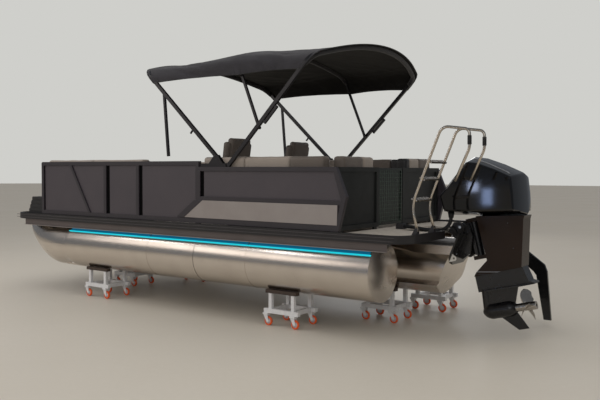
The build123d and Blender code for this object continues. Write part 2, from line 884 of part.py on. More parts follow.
# Louvred vents ahead of the fence
vent_back_x = fence_front_x - vent_gap
vent_outline = [
    (vent_back_x, deck_top),
    (vent_back_x - vent_length, deck_top),
    (vent_back_x - vent_top_length, deck_top + vent_height),
    (vent_back_x, deck_top + vent_height),
]
with BuildPart() as bow_vents:
    for side in (-1, 1):
        outer_y = side * (fence_half_width - vent_inset)
        with BuildSketch(side_plane(outer_y)):
            with BuildLine():
                Polyline(*vent_outline, close=True)
            make_face()
        extrude(amount=side * vent_width)
        with BuildSketch(side_plane(outer_y)):
            for slot in range(slot_count):
                slot_z = deck_top + vent_height * (slot + 0.8) / (slot_count + 0.6)
                with Locations((vent_back_x - vent_length / 2, slot_z)):
                    Rectangle(2 * vent_length, slot_height)
        extrude(amount=side * slot_depth, mode=Mode.SUBTRACT)
save(bow_vents, "bow_vents")

# Seats

bench_top = deck_top + bench_height
cushion_top = bench_top + seat_gap + cushion_thickness
seat_inner = fence_seat - bench_depth
bench_section = [
    (fence_seat, deck_top),
    (seat_inner + kick_depth, deck_top),
    (seat_inner + kick_depth, deck_top + kick_height),
    (seat_inner, deck_top + kick_height + kick_depth / 2),
    (seat_inner, bench_top),
    (fence_seat, bench_top),
]
# Columns: side, seat's front and end, back's front, back's top above the deck
seat_rows = [
    (-1, seat_front_lead, seat_front_end_lead, seat_front_lead, back_top_front),
    (1, seat_front_lead, console_lead + stern_back_gap, seat_front_lead, back_top_front),
    (-1, rear_seat_lead, rear_seat_end_lead, rear_back_lead, back_top_rear),
    (1, rear_seat_lead, rear_seat_end_lead, rear_back_lead, back_top_rear),
]

with BuildPart() as bench_bases:
    for side, front_lead, end_lead, back_lead, back_height in seat_rows:
        with BuildSketch(cross_plane(tail_x - front_lead)):
            with BuildLine():
                Polyline(*[(side * y, z) for y, z in bench_section], close=True)
            make_face()
        extrude(amount=front_lead - end_lead)
save(bench_bases, "bench_bases")

with BuildPart() as seat_cushions:
    with BuildSketch(Plane.XY.offset(bench_top + seat_gap)):
        for side, front_lead, end_lead, back_lead, back_height in seat_rows:
            with Locations((tail_x - (front_lead + end_lead) / 2, side * (fence_seat - bench_depth / 2))):
                Rectangle(front_lead - end_lead - cushion_joint, bench_depth - cushion_joint)
    extrude(amount=cushion_thickness)
    fillet(seat_cushions.edges().group_by(Axis.Z)[-1], cushion_round)
save(seat_cushions, "seat_cushions")

stern_back_x = stern_fence_x - seat_gap - back_thickness / 2
back_outer = fence_seat - back_stand
stern_back_outer = back_outer - back_thickness - cushion_joint
stern_back_rows = [
    (-stern_back_outer, -stern_gate_port - stern_back_gap),
    (stern_gate_starboard + 3 * stern_back_gap, stern_back_outer),
]
with BuildPart() as back_cushions:
    for side, front_lead, end_lead, back_lead, back_height in seat_rows:
        with BuildSketch(Plane.XY.offset(cushion_top + seat_gap)):
            middle_x = tail_x - (back_lead + end_lead) / 2
            with Locations((middle_x, side * (back_outer - back_thickness / 2))):
                Rectangle(back_lead - end_lead - cushion_joint, back_thickness)
        extrude(amount=deck_top + back_height - cushion_top - seat_gap)
    for low_y, high_y in stern_back_rows:
        with BuildSketch(Plane.XY.offset(deck_top + seat_gap)):
            with Locations((stern_back_x, (low_y + high_y) / 2)):
                Rectangle(back_thickness, high_y - low_y)
        extrude(amount=back_top_rear)
    for group in (back_cushions.edges().group_by(Axis.Z)[-1], back_cushions.edges().group_by(Axis.Z)[-2]):
        fillet(group.filter_by(GeomType.LINE), cushion_round)
save(back_cushions, "back_cushions")

# Captain's chairs
chair_x = tail_x - chair_lead
chair_low = deck_top + chair_seat_height
lean = radians(back_lean)
back_height = (chair_top - chair_seat_height - chair_pad / 2) / cos(lean)
for name, side in (("port_chair", -1), ("starboard_chair", 1)):
    centre_y = side * chair_offset
    back_plane = Plane(
        origin=(chair_x + (chair_depth - back_wall) / 2, centre_y, chair_low + chair_pad / 2),
        x_dir=(0, 1, 0),
        z_dir=(cos(lean), 0, -sin(lean)),
    )
    arm_outline = [
        (chair_x - chair_depth * 0.3, chair_low + chair_pad / 2),
        (chair_x - chair_depth * 0.34, chair_low + 300),
        (chair_x + chair_depth * 0.36, chair_low + 310),
        (chair_x + chair_depth * 0.36, chair_low + 250),
        (chair_x - chair_depth * 0.2, chair_low + 245),
        (chair_x - chair_depth * 0.18, chair_low + chair_pad / 2),
    ]
    with BuildPart() as chair:
        with BuildSketch(Plane.XY.offset(chair_low)):
            with Locations((chair_x, centre_y)):
                RectangleRounded(chair_depth, chair_width, chair_corner)
        extrude(amount=chair_pad)
        fillet(chair.edges().group_by(Axis.Z)[-1], cushion_round)
        with BuildSketch(back_plane):
            with Locations((0, back_height / 2)):
                RectangleRounded(back_width, back_height, chair_corner * 1.5)
        extrude(amount=back_wall / 2, both=True)
        for arm_side in (-1, 1):
            arm_y = centre_y + arm_side * (chair_width - arm_width) / 2
            add(slab(side_plane(arm_y), arm_outline, arm_width / 2, both=True))
        with BuildSketch(Plane.XY.offset(chair_low)):
            with Locations((chair_x, centre_y)):
                Circle(swivel_top)
        extrude(amount=-pedestal_plate)
    save(chair, name)

with BuildPart() as chair_pedestals:
    with BuildSketch(Plane.XY.offset(deck_top)):
        with Locations((chair_x, -chair_offset), (chair_x, chair_offset)):
            Circle(pedestal_base)
    extrude(amount=pedestal_plate)
    with BuildSketch(Plane.XY.offset(deck_top)):
        with Locations((chair_x, -chair_offset), (chair_x, chair_offset)):
            Circle(pedestal_radius)
    extrude(amount=chair_seat_height - pedestal_plate - seat_gap)
save(chair_pedestals, "chair_pedestals")

# Helm console and its wheel
console_front_x = tail_x - console_lead
dash_top = (330.0, console_height - 10)
dash_foot = (440.0, console_height - 220)
console_outline = [
    (0, 0),
    (30, console_height - 130),
    (120, console_height),
    dash_top,
    dash_foot,
    (console_depth, console_height - 300),
    (console_depth, 0),
]
with BuildPart() as helm_console:
    with BuildSketch(side_plane(console_outer)):
        with BuildLine():
            Polyline(*[(console_front_x + x, deck_top + z) for x, z in console_outline], close=True)
        make_face()
    extrude(amount=console_outer - console_inner)
save(helm_console, "helm_console")

dash_run = Vector(dash_foot[0] - dash_top[0], 0, dash_foot[1] - dash_top[1]).normalized()
dash_normal = Vector(-dash_run.Z, 0, dash_run.X)
dash_middle = Vector(
    console_front_x + (dash_top[0] + dash_foot[0]) / 2,
    helm_offset,
    deck_top + (dash_top[1] + dash_foot[1]) / 2,
)
dash_plane = Plane(origin=dash_middle, x_dir=(0, 1, 0), z_dir=dash_normal)
with BuildPart() as helm_wheel:
    with BuildSketch(dash_plane.offset(helm_stand - helm_rim)):
        Circle(helm_radius)
        Circle(helm_radius - 2 * helm_rim, mode=Mode.SUBTRACT)
    extrude(amount=2 * helm_rim)
    fillet(helm_wheel.edges().filter_by(GeomType.CIRCLE), helm_rim * 0.6)
    with BuildSketch(dash_plane.offset(helm_stand - helm_rim / 2)):
        Circle(helm_hub)
        with PolarLocations(helm_radius / 2, 3):
            Rectangle(helm_radius - helm_rim, 2 * helm_rim)
    extrude(amount=helm_rim)
    with BuildSketch(dash_plane.offset(seat_gap)):
        Circle(helm_shaft)
    extrude(amount=helm_stand)
save(helm_wheel, "helm_wheel")

# Bimini top

front_foot_x = tail_x - front_foot_lead
front_foot_z = rear_top + front_foot_rise
rear_foot_x = tail_x - rear_foot_lead
rear_foot_z = rear_top + foot_boss + seat_gap


def bow_plane(foot, lean):
    """Leaning plane of a bow and its legs, from the foot, with its y up the legs."""
    tilt = radians(lean)
    normal = (cos(tilt), 0, -sin(tilt))
    return Plane(origin=(foot[0], 0, foot[1]), x_dir=(0, 1, 0), z_dir=normal)


def roof_line(half_width, radius, slope, crown, low):
    """Line over the roof, whose crown's arc runs into straight eaves."""
    peak = crown + radius * (1 / cos(slope) - 1)
    eave = peak - half_width * tan(slope)
    return [(-half_width, low), (-half_width, eave), (0, peak), (half_width, eave), (half_width, low)]


def crown_bend(half_width, radius, slope):
    """Crown's radius, which the straight eaves leave room for."""
    eave_run = eave_radius * tan((radians(90) - slope) / 2)
    return min(radius, (half_width / cos(slope) - eave_run) * crown_room / tan(slope))


def leaning_roof(foot, lean, half_width, crown, low, grow=0, rise=0):
    """Points and bend radii of a line over the roof, in a bow's plane; both grows and rises are in it too."""
    stretch = 1 / cos(radians(lean))
    slope = atan(tan(radians(roof_slope)) * stretch)
    radius = crown_bend(half_width, roof_radius / stretch, slope) + grow
    crown_up = (crown - foot[1]) * stretch + rise
    points = roof_line(half_width + grow, radius, slope, crown_up, (low - foot[1]) * stretch)
    return points, [eave_radius + grow, radius, eave_radius + grow]


def bow(foot, lean, half_width, crown, section, depth):
    """Bent tube: two legs and the arch between them, all in one leaning plane."""
    points, radii = leaning_roof(foot, lean, half_width, crown, foot[1])
    with BuildPart() as piece:
        with BuildLine(bow_plane(foot, lean)) as line:
            FilletPolyline(*points, radius=radii)
        with BuildSketch(Plane(origin=line.line @ 0, x_dir=(0, 1, 0), z_dir=line.line % 0)):
            Rectangle(section, depth)
        sweep(path=line.wire())
    return piece.part


def along_leg(foot, lean, share):
    """X and Z of a point along a leg."""
    rise = (leg_top - foot[1]) * share
    return foot[0] + rise * tan(radians(lean)), foot[1] + rise


def below_leg(foot, lean, share, drop):
    """X and Z of a point under a leg, square to it."""
    x, z = along_leg(foot, lean, share)
    turn = 1 if lean > 0 else -1
    return x + turn * drop * cos(radians(lean)), z - drop * abs(sin(radians(lean)))


front_foot = (front_foot_x, front_foot_z)
rear_foot = (rear_foot_x, rear_foot_z)
with BuildPart() as bimini_front_bow:
    add(bow(front_foot, -front_lean, leg_offset, roof_crown, arch_section, leg_section))
    for side in (-1, 1):
        leg_y = side * leg_offset
        low_y = leg_y - arch_section / 2
        high_y = leg_y + arch_section / 2
        strut_x, strut_z = along_leg(front_foot, -front_lean, strut_share)
        knob_x, knob_z = along_leg(front_foot, -front_lean, knob_share)
        knob_end_x, knob_end_z = below_leg(front_foot, -front_lean, knob_share, knob_reach)
        strut_start = (strut_x, leg_y, strut_z)
        strut_end = (tail_x - strut_foot_lead, leg_y, strut_foot_z)
        add(bar(strut_start, strut_end, strut_section, strut_section))
        add(rod((knob_x, leg_y, knob_z), (knob_end_x, leg_y, knob_end_z), foot_pin * 2))
        add(cross_rod(*front_foot, low_y, high_y, foot_boss))
        add(cross_rod(*front_foot, low_y, high_y, foot_pin + seat_gap), mode=Mode.SUBTRACT)
save(bimini_front_bow, "bimini_front_bow")

brace_foot = along_leg(rear_foot, rear_lean, pivot_share)
brace_offset = leg_offset - brace_inset
brace_side = brace_section / 2
low_share, high_share = damper_shares
with BuildPart() as bimini_rear_bow:
    add(bow(rear_foot, rear_lean, leg_offset, roof_crown, arch_section, leg_section))
    for side in (-1, 1):
        leg_y = side * leg_offset
        add(cross_rod(*rear_foot, leg_y - arch_section / 2, leg_y + arch_section / 2, foot_boss))
        shaft_end = side * (brace_offset - brace_side)
        spacer_end = side * (brace_offset + brace_side + seat_gap)
        for rod_end, radius in ((shaft_end, foot_pin), (spacer_end, 2 * foot_pin)):
            low_y, high_y = sorted((leg_y, rod_end))
            add(cross_rod(*brace_foot, low_y, high_y, radius))
        low_x, low_z = below_leg(rear_foot, rear_lean, low_share, damper_drop)
        high_x, high_z = below_leg(rear_foot, rear_lean, high_share, damper_drop)
        add(bar((low_x, leg_y, low_z), (high_x, leg_y, high_z), damper_section, damper_section))
        for share in (low_share + 0.01, high_share - 0.01):
            start_x, start_z = along_leg(rear_foot, rear_lean, share)
            end_x, end_z = below_leg(rear_foot, rear_lean, share, damper_drop)
            add(bar((start_x, leg_y, start_z), (end_x, leg_y, end_z), damper_section, damper_section))
save(bimini_rear_bow, "bimini_rear_bow")

with BuildPart() as bimini_middle_bow:
    add(bow(brace_foot, -middle_lean, brace_offset, middle_crown, brace_section, brace_section))
    for side in (-1, 1):
        low_y = side * brace_offset - brace_side
        high_y = side * brace_offset + brace_side
        add(cross_rod(*brace_foot, low_y, high_y, 3 * foot_pin))
        add(cross_rod(*brace_foot, low_y, high_y, foot_pin + seat_gap), mode=Mode.SUBTRACT)
save(bimini_middle_bow, "bimini_middle_bow")

# The canopy runs straight from bow to bow, and its ends lie just past the end bows' planes
canopy_inner = arch_section / 2 + canopy_stand
canopy_lines = []
for foot, lean, crown, depth, reach in (
    (front_foot, -front_lean, roof_crown, leg_section, -canopy_hang),
    (brace_foot, -middle_lean, middle_crown, brace_section, 0),
    (rear_foot, rear_lean, roof_crown, leg_section, canopy_hang),
):
    turn = radians(lean)
    past = (foot[0] + reach * cos(turn), foot[1] - reach * sin(turn))
    rise = canopy_inner + depth / 2 * tan(abs(turn)) + canopy_stand
    canopy_lines.append((past, lean, crown, rise))

with BuildPart() as bimini_canopy:
    for past, lean, crown, rise in canopy_lines:
        with BuildSketch(bow_plane(past, lean)):
            with BuildLine():
                ends = []
                for wall in (0, canopy_wall):
                    width = leg_offset + canopy_inner
                    points, radii = leaning_roof(past, lean, width, crown, canopy_hem, wall, rise + wall)
                    FilletPolyline(*points, radius=radii)
                    ends.append(points)
                Line(ends[0][0], ends[1][0])
                Line(ends[0][-1], ends[1][-1])
            make_face()
    loft(ruled=True)
save(bimini_canopy, "bimini_canopy")

mount_top = rear_top + mount_rise
cheek_half = arch_section / 2 + seat_gap + cheek_wall / 2
cheek_outline = [
    (front_foot_x - 110, mount_top),
    (front_foot_x - foot_boss, front_foot_z + foot_boss),
    (front_foot_x + foot_boss, front_foot_z + foot_boss),
    (front_foot_x + 110, mount_top),
]
with BuildPart() as bimini_mounts:
    for side in (-1, 1):
        leg_y = side * leg_offset
        mount_middle_x = tail_x - (mount_front_lead + mount_rear_lead) / 2
        with BuildSketch(Plane.XY.offset(rear_top)):
            with Locations((mount_middle_x, leg_y)):
                Rectangle(mount_front_lead - mount_rear_lead, arch_section + 2 * cheek_wall + 2 * seat_gap)
        extrude(amount=mount_rise)
        for cheek_side in (-1, 1):
            cheek_y = leg_y + cheek_side * cheek_half
            add(slab(side_plane(cheek_y), cheek_outline, cheek_wall / 2, both=True))
        pin_half = cheek_half + cheek_wall
        add(cross_rod(front_foot_x, front_foot_z, leg_y - pin_half, leg_y + pin_half, foot_pin))
save(bimini_mounts, "bimini_mounts")

# Outboard motor. Points are along and up from the tilt pivot, square to the leg and along it.

motor_x = tail_x + pivot_reach
trim = radians(trim_angle)
aft = Vector(cos(trim), 0, sin(trim))
up = Vector(-sin(trim), 0, cos(trim))
tilt_pivot = Vector(motor_x, 0, pivot_z)
motor_side = Plane(origin=tilt_pivot, x_dir=aft, z_dir=(0, -1, 0))


def motor_point(along, height):
    """Point on the motor's middle plane."""
    return tilt_pivot + aft * along + up * height


def motor_level(along, height):
    """Plane square to the motor's leg, with its x aft."""
    return Plane(origin=motor_point(along, height), x_dir=aft, z_dir=up)


# The clamp's two ears hook over the transom; its flanges lie on the transom's rear face
transom_face = transom_thickness + 2 * seat_gap
ear_foot_z = pivot_z - 330
ear_outline = [
    (motor_x - 45, pivot_z - 25),
    (motor_x - 40, pivot_z + 36),
    (motor_x + 35, pivot_z + 52),
    (motor_x + 85, pivot_z + 30),
    (motor_x + 135, pivot_z - 90),
    (motor_x + 105, pivot_z - 290),
    (motor_x + 30, pivot_z - 350),
    (stern_face_x(ear_foot_z, transom_face), ear_foot_z),
    (stern_face_x(transom_top + seat_gap, transom_face), transom_top + seat_gap),
    (motor_x - 20, transom_top + seat_gap),
]
flange_middle = (clamp_inner + clamp_flange) / 2
flange_low = (ear_foot_z - tube_z) / cos(rake)
flange_high = (transom_top - tube_z) / cos(rake)
with BuildPart() as clamp_bracket:
    for side in (-1, 1):
        ear_y = side * (clamp_inner + clamp_outer) / 2
        add(slab(side_plane(ear_y), ear_outline, (clamp_outer - clamp_inner) / 2, both=True))
        with BuildSketch(stern_plate.offset(transom_face)):
            with Locations((side * flange_middle, (flange_low + flange_high) / 2)):
                Rectangle(clamp_flange - clamp_inner, flange_high - flange_low)
        extrude(amount=clamp_wall)
    add(cross_rod(motor_x, pivot_z, -tilt_tube_half, tilt_tube_half, tilt_tube_radius))
save(clamp_bracket, "clamp_bracket")

swivel_half = clamp_inner - seat_gap
swivel_outline = [
    (-32, -22),
    (-24, 26),
    (swivel_offset, sleeve_high - 2),
    (swivel_offset, sleeve_low + 10),
    (80, sleeve_low + 10),
    (70, -180),
    (70, -66),
    (58, -50),
    (20, -40),
]
with BuildPart() as swivel_bracket:
    add(slab(motor_side, swivel_outline, swivel_half * 0.8, both=True))
    add(cross_rod(motor_x, pivot_z, -swivel_half, swivel_half, 2 * tilt_tube_radius))
    with BuildSketch(motor_level(swivel_offset, sleeve_low)):
        Circle(sleeve_radius)
    extrude(amount=sleeve_high - sleeve_low)
    with BuildSketch(motor_level(swivel_offset, sleeve_low - 1)):
        Circle(swivel_radius + seat_gap)
    extrude(amount=sleeve_high - sleeve_low + 2, mode=Mode.SUBTRACT)
    bore = cross_rod(motor_x, pivot_z, -swivel_half, swivel_half, tilt_tube_radius + seat_gap)
    add(bore, mode=Mode.SUBTRACT)
save(swivel_bracket, "swivel_bracket")

cowl_low = [(-136, 160), (227, 75), (711, -19)]
cowl_outline = [
    *cowl_low,
    (751, 209),
    (775, 417),
    (597, 554),
    (422, 666),
    (273, 722),
    (-150, 400),
]
block_low = 130.0
block_high = 480.0
block_front = 80.0
block_rear = 560.0
with BuildPart() as engine_cowl:
    with BuildSketch(motor_side):
        with BuildLine():
            Polyline(*cowl_outline, close=True)
        make_face()
    extrude(amount=cowl_half_width, both=True, taper=cowl_taper)
    with BuildSketch(motor_level((block_front + block_rear) / 2, block_low - seat_gap)):
        Rectangle(block_rear - block_front + 2 * seat_gap, 2 * (block_half_width + seat_gap))
    extrude(amount=block_high - block_low + 2 * seat_gap, mode=Mode.SUBTRACT)
save(engine_cowl, "engine_cowl")

with BuildPart() as engine_block:
    with BuildSketch(motor_level((block_front + block_rear) / 2, block_low)):
        Rectangle(block_rear - block_front, 2 * block_half_width)
    extrude(amount=block_high - block_low)
save(engine_block, "engine_block")

leg_joint = [(24, -556), (559, -537)]
leg_outline = [
    (192, 82),
    (227, 75 - seat_gap),
    (711, -19 - seat_gap),
    (689, -58),
    (608, -353),
    (559, -537),
    (24, -556),
    (59, -512),
    (206, -406),
]
yoke_rear = 230.0
with BuildPart() as engine_midsection:
    add(slab(motor_side, leg_outline, leg_half_width, both=True))
    for yoke_low in (sleeve_low - yoke_height - seat_gap, sleeve_high + seat_gap):
        with BuildSketch(motor_level((yoke_front + yoke_rear) / 2, yoke_low)):
            Rectangle(yoke_rear - yoke_front, 2 * yoke_half_width)
        extrude(amount=yoke_height)
    with BuildSketch(motor_level(swivel_offset, sleeve_low - yoke_height)):
        Circle(swivel_radius)
    extrude(amount=sleeve_high - sleeve_low + 2 * yoke_height)
save(engine_midsection, "engine_midsection")

plate_low = -730.0
gearcase_outline = [
    (24, -556 - seat_gap),
    (559, -537 - seat_gap),
    (590, -690),
    (640, -712),
    (640, plate_low),
    (25, plate_low),
]
plate_half = [(20, 45), (120, plate_half_width), (520, plate_half_width), (640, 80)]
plate_outline = plate_half + [(x, -y) for x, y in plate_half[::-1]]
skeg_outline = [(150, -1000), (347, -1189), (456, -1185), (358, -985)]


def foil(height, front, rear, half_width):
    """Streamlined section of the leg, blunt in front and thin behind."""
    shoulder = front + 2.2 * half_width
    with BuildSketch(motor_level(0, height)) as section:
        with BuildLine():
            ThreePointArc((shoulder, half_width), (front, 0), (shoulder, -half_width))
            Line((shoulder, -half_width), (rear, -skeg_wall / 2))
            Line((rear, -skeg_wall / 2), (rear, skeg_wall / 2))
            Line((rear, skeg_wall / 2), (shoulder, half_width))
        make_face()
    return section.sketch


with BuildPart() as gearcase:
    add(slab(motor_side, gearcase_outline, gearcase_half_width, both=True))
    with BuildSketch(motor_level(0, plate_low)):
        with BuildLine():
            Polyline(*plate_outline, close=True)
        make_face()
    extrude(amount=plate_wall)
    loft(sections=[foil(plate_low, 28, 440, foil_half_width), foil(prop_axis, 4, 350, foil_half_width)])
    with BuildSketch(motor_side):
        with BuildLine():
            low = prop_axis
            ThreePointArc((bullet_front, low), (40, low + 66), (130, low + bullet_radius))
            Line((130, low + bullet_radius), (290, low + bullet_radius))
            ThreePointArc((290, low + bullet_radius), (340, low + 74), (bullet_rear, low + 50))
            Line((bullet_rear, low + 50), (bullet_rear, low))
            Line((bullet_rear, low), (bullet_front, low))
        make_face()
    revolve(axis=Axis(motor_point(0, prop_axis), aft))
    add(slab(motor_side, skeg_outline, skeg_wall / 2, both=True))
    add(rod(motor_point(bullet_rear - 1, prop_axis), motor_point(bullet_rear + 190, prop_axis), shaft_radius))
save(gearcase, "gearcase")

# Columns: radius, chord, thickness, pitch angle
blade_sections = [
    (36.0, 104.0, 16.0, 62.0),
    (95.0, 142.0, 11.0, 44.0),
    (150.0, 132.0, 8.0, 33.0),
    (prop_radius, 56.0, 4.0, 27.0),
]
prop_front = bullet_rear + seat_gap
prop_middle = motor_point(prop_front + blade_centre, prop_axis)
across = Vector(0, 1, 0)
with BuildPart() as propeller:
    with BuildSketch(Plane(origin=motor_point(prop_front, prop_axis), x_dir=across, z_dir=aft)):
        Circle(prop_hub_radius)
        Circle(shaft_radius + seat_gap, mode=Mode.SUBTRACT)
    extrude(amount=prop_hub_length)
    for blade in range(blade_count):
        turn = radians(360 * blade / blade_count + 20)
        radial = up * cos(turn) + across * sin(turn)
        tangent = across * cos(turn) - up * sin(turn)
        sections = []
        for radius, chord, thickness, pitch in blade_sections:
            chord_line = aft * sin(radians(pitch)) + tangent * cos(radians(pitch))
            place = Plane(origin=prop_middle + radial * radius, x_dir=chord_line, z_dir=radial)
            with BuildSketch(place) as section:
                Ellipse(chord / 2, thickness / 2)
            sections.append(section.sketch)
        loft(sections=sections)
save(propeller, "propeller")

# Rigging hose from its boot on the deck to the cowl's underside
boot_x = well_front_x - boot_length / 2 - 10
boot_y = -200.0
hose_z = deck_top + boot_height / 2
hose_start_x = boot_x + boot_length / 2
entry_share = 0.16      # hose's entry along the cowl's lower front edge
entry_front, entry_rear = [Vector(*point, 0) for point in cowl_low[:2]]
entry_place = entry_front + (entry_rear - entry_front) * entry_share
cowl_entry = motor_point(entry_place.X, entry_place.Y)


def cord_radii(points):
    """Bend radii along a cord, as large as its runs allow."""
    radii = []
    for before, corner, after in zip(points, points[1:], points[2:]):
        run_in = Vector(*corner) - Vector(*before)
        run_out = Vector(*after) - Vector(*corner)
        turn = radians(run_in.get_angle(run_out))
        radii.append(0.45 * min(run_in.length, run_out.length) / tan(turn / 2))
    return radii


# The hose leaves the boot level, sags over the well and rises square to the cowl's lower edge
hose_points = [
    (hose_start_x + seat_gap, boot_y, hose_z),
    (hose_start_x + 55, boot_y, hose_z),
    (hose_start_x + 130, boot_y + 2, hose_z - 7),
    (hose_start_x + 230, boot_y + 10, hose_z - 23),
    (cowl_entry.X - 205, boot_y + 24, cowl_entry.Z - 172),
    (cowl_entry.X - 121, boot_y + 42, cowl_entry.Z - 175),
    (cowl_entry.X - 66, boot_y + 55, cowl_entry.Z - 152),
    (cowl_entry.X - 23, boot_y + 64, cowl_entry.Z - 110),
    (cowl_entry.X, boot_y + 70, cowl_entry.Z - 54),
    (cowl_entry.X, boot_y + 70, cowl_entry.Z - seat_gap),
]
hose_radii = cord_radii(hose_points)
print("hose bend radii", [round(radius) for radius in hose_radii])
with BuildPart() as rigging_hose:
    with BuildLine() as hose_line:
        FilletPolyline(*hose_points, radius=hose_radii)
    with BuildSketch(Plane(origin=hose_line.line @ 0, z_dir=hose_line.line % 0)):
        Circle(hose_radius)
    sweep(path=hose_line.wire())
save(rigging_hose, "rigging_hose")

# Boarding ladder, folded up over the platform

ladder_x = tail_x + ladder_hinge_reach
ladder_z = deck_top + ladder_hinge_rise
boss_half = ladder_radius + ladder_shoulder
# Columns: reach and height above the deck
ladder_points = [
    (ladder_hinge_reach, ladder_hinge_rise),
    (340.0, 320.0),
    (655.0, 1098.0),
    (940.0, 1062.0),
    (942.0, 880.0),
    (800.0, 560.0),
]
ladder_bends = [350.0, 95.0, 55.0, 160.0]
ladder_path = [(tail_x + reach, deck_top + rise) for reach, rise in ladder_points]
stile_run = Vector(
    ladder_path[2][0] - ladder_path[1][0], 0, ladder_path[2][1] - ladder_path[1][1]
).normalized()
tread_side = Vector(stile_run.Z, 0, -stile_run.X)


def stile_x(rise):
    """X of the ladder's straight stile at a height above the deck."""
    return ladder_path[1][0] + (deck_top + rise - ladder_path[1][1]) * stile_run.X / stile_run.Z


with BuildPart() as ladder:
    for rail_y in (-ladder_port, -ladder_starboard):
        with BuildLine(side_plane(rail_y)) as rail_line:
            FilletPolyline(*ladder_path, radius=ladder_bends)
        with BuildSketch(Plane(origin=rail_line.line @ 0, z_dir=rail_line.line % 0)):
            Circle(ladder_radius)
        sweep(path=rail_line.wire())
        low_y = rail_y - boss_half
        high_y = rail_y + boss_half
        add(cross_rod(ladder_x, ladder_z, low_y, high_y, ladder_boss))
        bore = cross_rod(ladder_x, ladder_z, low_y, high_y, bracket_pin + seat_gap)
        add(bore, mode=Mode.SUBTRACT)
    for rise in tread_heights:
        tread_x = stile_x(rise)
        tread_start = (tread_x, -ladder_port + ladder_radius / 2, deck_top + rise)
        tread_end = (tread_x, -ladder_starboard - ladder_radius / 2, deck_top + rise)
        add(bar(tread_start, tread_end, tread_width, tread_wall, side=tread_side))
save(ladder, "ladder")

grip_start = Vector(ladder_path[3][0], 0, ladder_path[3][1])
grip_end = Vector(ladder_path[4][0], 0, ladder_path[4][1])
grip_run = (grip_end - grip_start).normalized()
with BuildPart() as ladder_grips:
    for rail_y in (-ladder_port, -ladder_starboard):
        middle = Vector(0, rail_y, 0)
        with BuildSketch(Plane(origin=grip_start + grip_run * 62 + middle, z_dir=grip_run)):
            Circle(grip_radius)
            Circle(ladder_radius + seat_gap, mode=Mode.SUBTRACT)
        extrude(amount=(grip_end - grip_start).length - 96)
save(ladder_grips, "ladder_grips")

# Stern anchor arm, folded down beside the motor

anchor_x = tail_x + anchor_pivot_reach
# Columns: reach and height above the floor
anchor_points = [
    (anchor_pivot_reach - 4, anchor_pivot_z + anchor_boss),
    (931.0, 862.0),
    (1150.0, 700.0),
    (1182.0, 620.0),
    (1235.0, 70.0),
    (1152.0, 70.0),
    (1060.0, 572.0),
    (1029.0, 612.0),
    (880.0, 735.0),
    (anchor_pivot_reach - 10, anchor_pivot_z - anchor_boss + 2),
]
plate_face_x = stern_x + seat_gap
with BuildPart() as anchor_arm:
    anchor_outline = [(tail_x + reach, height) for reach, height in anchor_points]
    add(slab(side_plane(anchor_offset), anchor_outline, anchor_half_wall, both=True))
    low_y = anchor_offset - anchor_half_wall
    high_y = anchor_offset + anchor_half_wall
    add(cross_rod(anchor_x, anchor_pivot_z, low_y, high_y, anchor_boss))
    bore = cross_rod(anchor_x, anchor_pivot_z, low_y, high_y, anchor_pin + seat_gap)
    add(bore, mode=Mode.SUBTRACT)
save(anchor_arm, "anchor_arm")

# Brackets and boot that stay on the deck
rail_inner_x = stern_x - rub_rail_width - seat_gap
bracket_top = ladder_z + ladder_boss
ladder_cheek = [
    (ladder_x - 60, deck_top),
    (ladder_x - 14, bracket_top),
    (ladder_x + 14, bracket_top),
    (ladder_x + 14, deck_top + rub_rail_lip + seat_gap),
    (rail_inner_x, deck_top + rub_rail_lip + seat_gap),
    (rail_inner_x, deck_top),
]
anchor_cheek = [
    (plate_face_x, anchor_pivot_z - 45),
    (plate_face_x, anchor_pivot_z + 65),
    (anchor_x + anchor_boss, anchor_pivot_z + anchor_boss),
    (anchor_x + anchor_boss, anchor_pivot_z - anchor_boss),
]
ladder_stand = boss_half + seat_gap + bracket_wall / 2
anchor_stand = anchor_half_wall + seat_gap + bracket_wall
with BuildPart() as stern_fittings:
    with BuildSketch(Plane.XY.offset(deck_top)):
        with Locations((boot_x, boot_y)):
            Rectangle(boot_length, boot_width)
    extrude(amount=boot_height)
    fillet(stern_fittings.edges().group_by(Axis.Z)[-1], hose_radius / 2)
    for rail_y in (-ladder_port, -ladder_starboard):
        for side in (-1, 1):
            cheek_plane = side_plane(rail_y + side * ladder_stand)
            add(slab(cheek_plane, ladder_cheek, bracket_wall / 2, both=True))
        with BuildSketch(Plane.XY.offset(deck_top)):
            with Locations((rail_inner_x - 27, rail_y)):
                Rectangle(54, 2 * ladder_stand + bracket_wall)
        extrude(amount=bracket_wall)
        pin_half = ladder_stand + bracket_wall
        add(cross_rod(ladder_x, ladder_z, rail_y - pin_half, rail_y + pin_half, bracket_pin))
    with BuildSketch(cross_plane(plate_face_x)):
        with Locations((anchor_offset, anchor_pivot_z + 10)):
            Rectangle(4 * anchor_stand, 110)
    extrude(amount=bracket_wall)
    for side in (-1, 1):
        cheek_plane = side_plane(anchor_offset + side * anchor_stand)
        add(slab(cheek_plane, anchor_cheek, bracket_wall, both=True))
    pin_half = anchor_stand + 2 * bracket_wall
    low_y = anchor_offset - pin_half
    high_y = anchor_offset + pin_half
    add(cross_rod(anchor_x, anchor_pivot_z, low_y, high_y, anchor_pin))
save(stern_fittings, "stern_fittings")

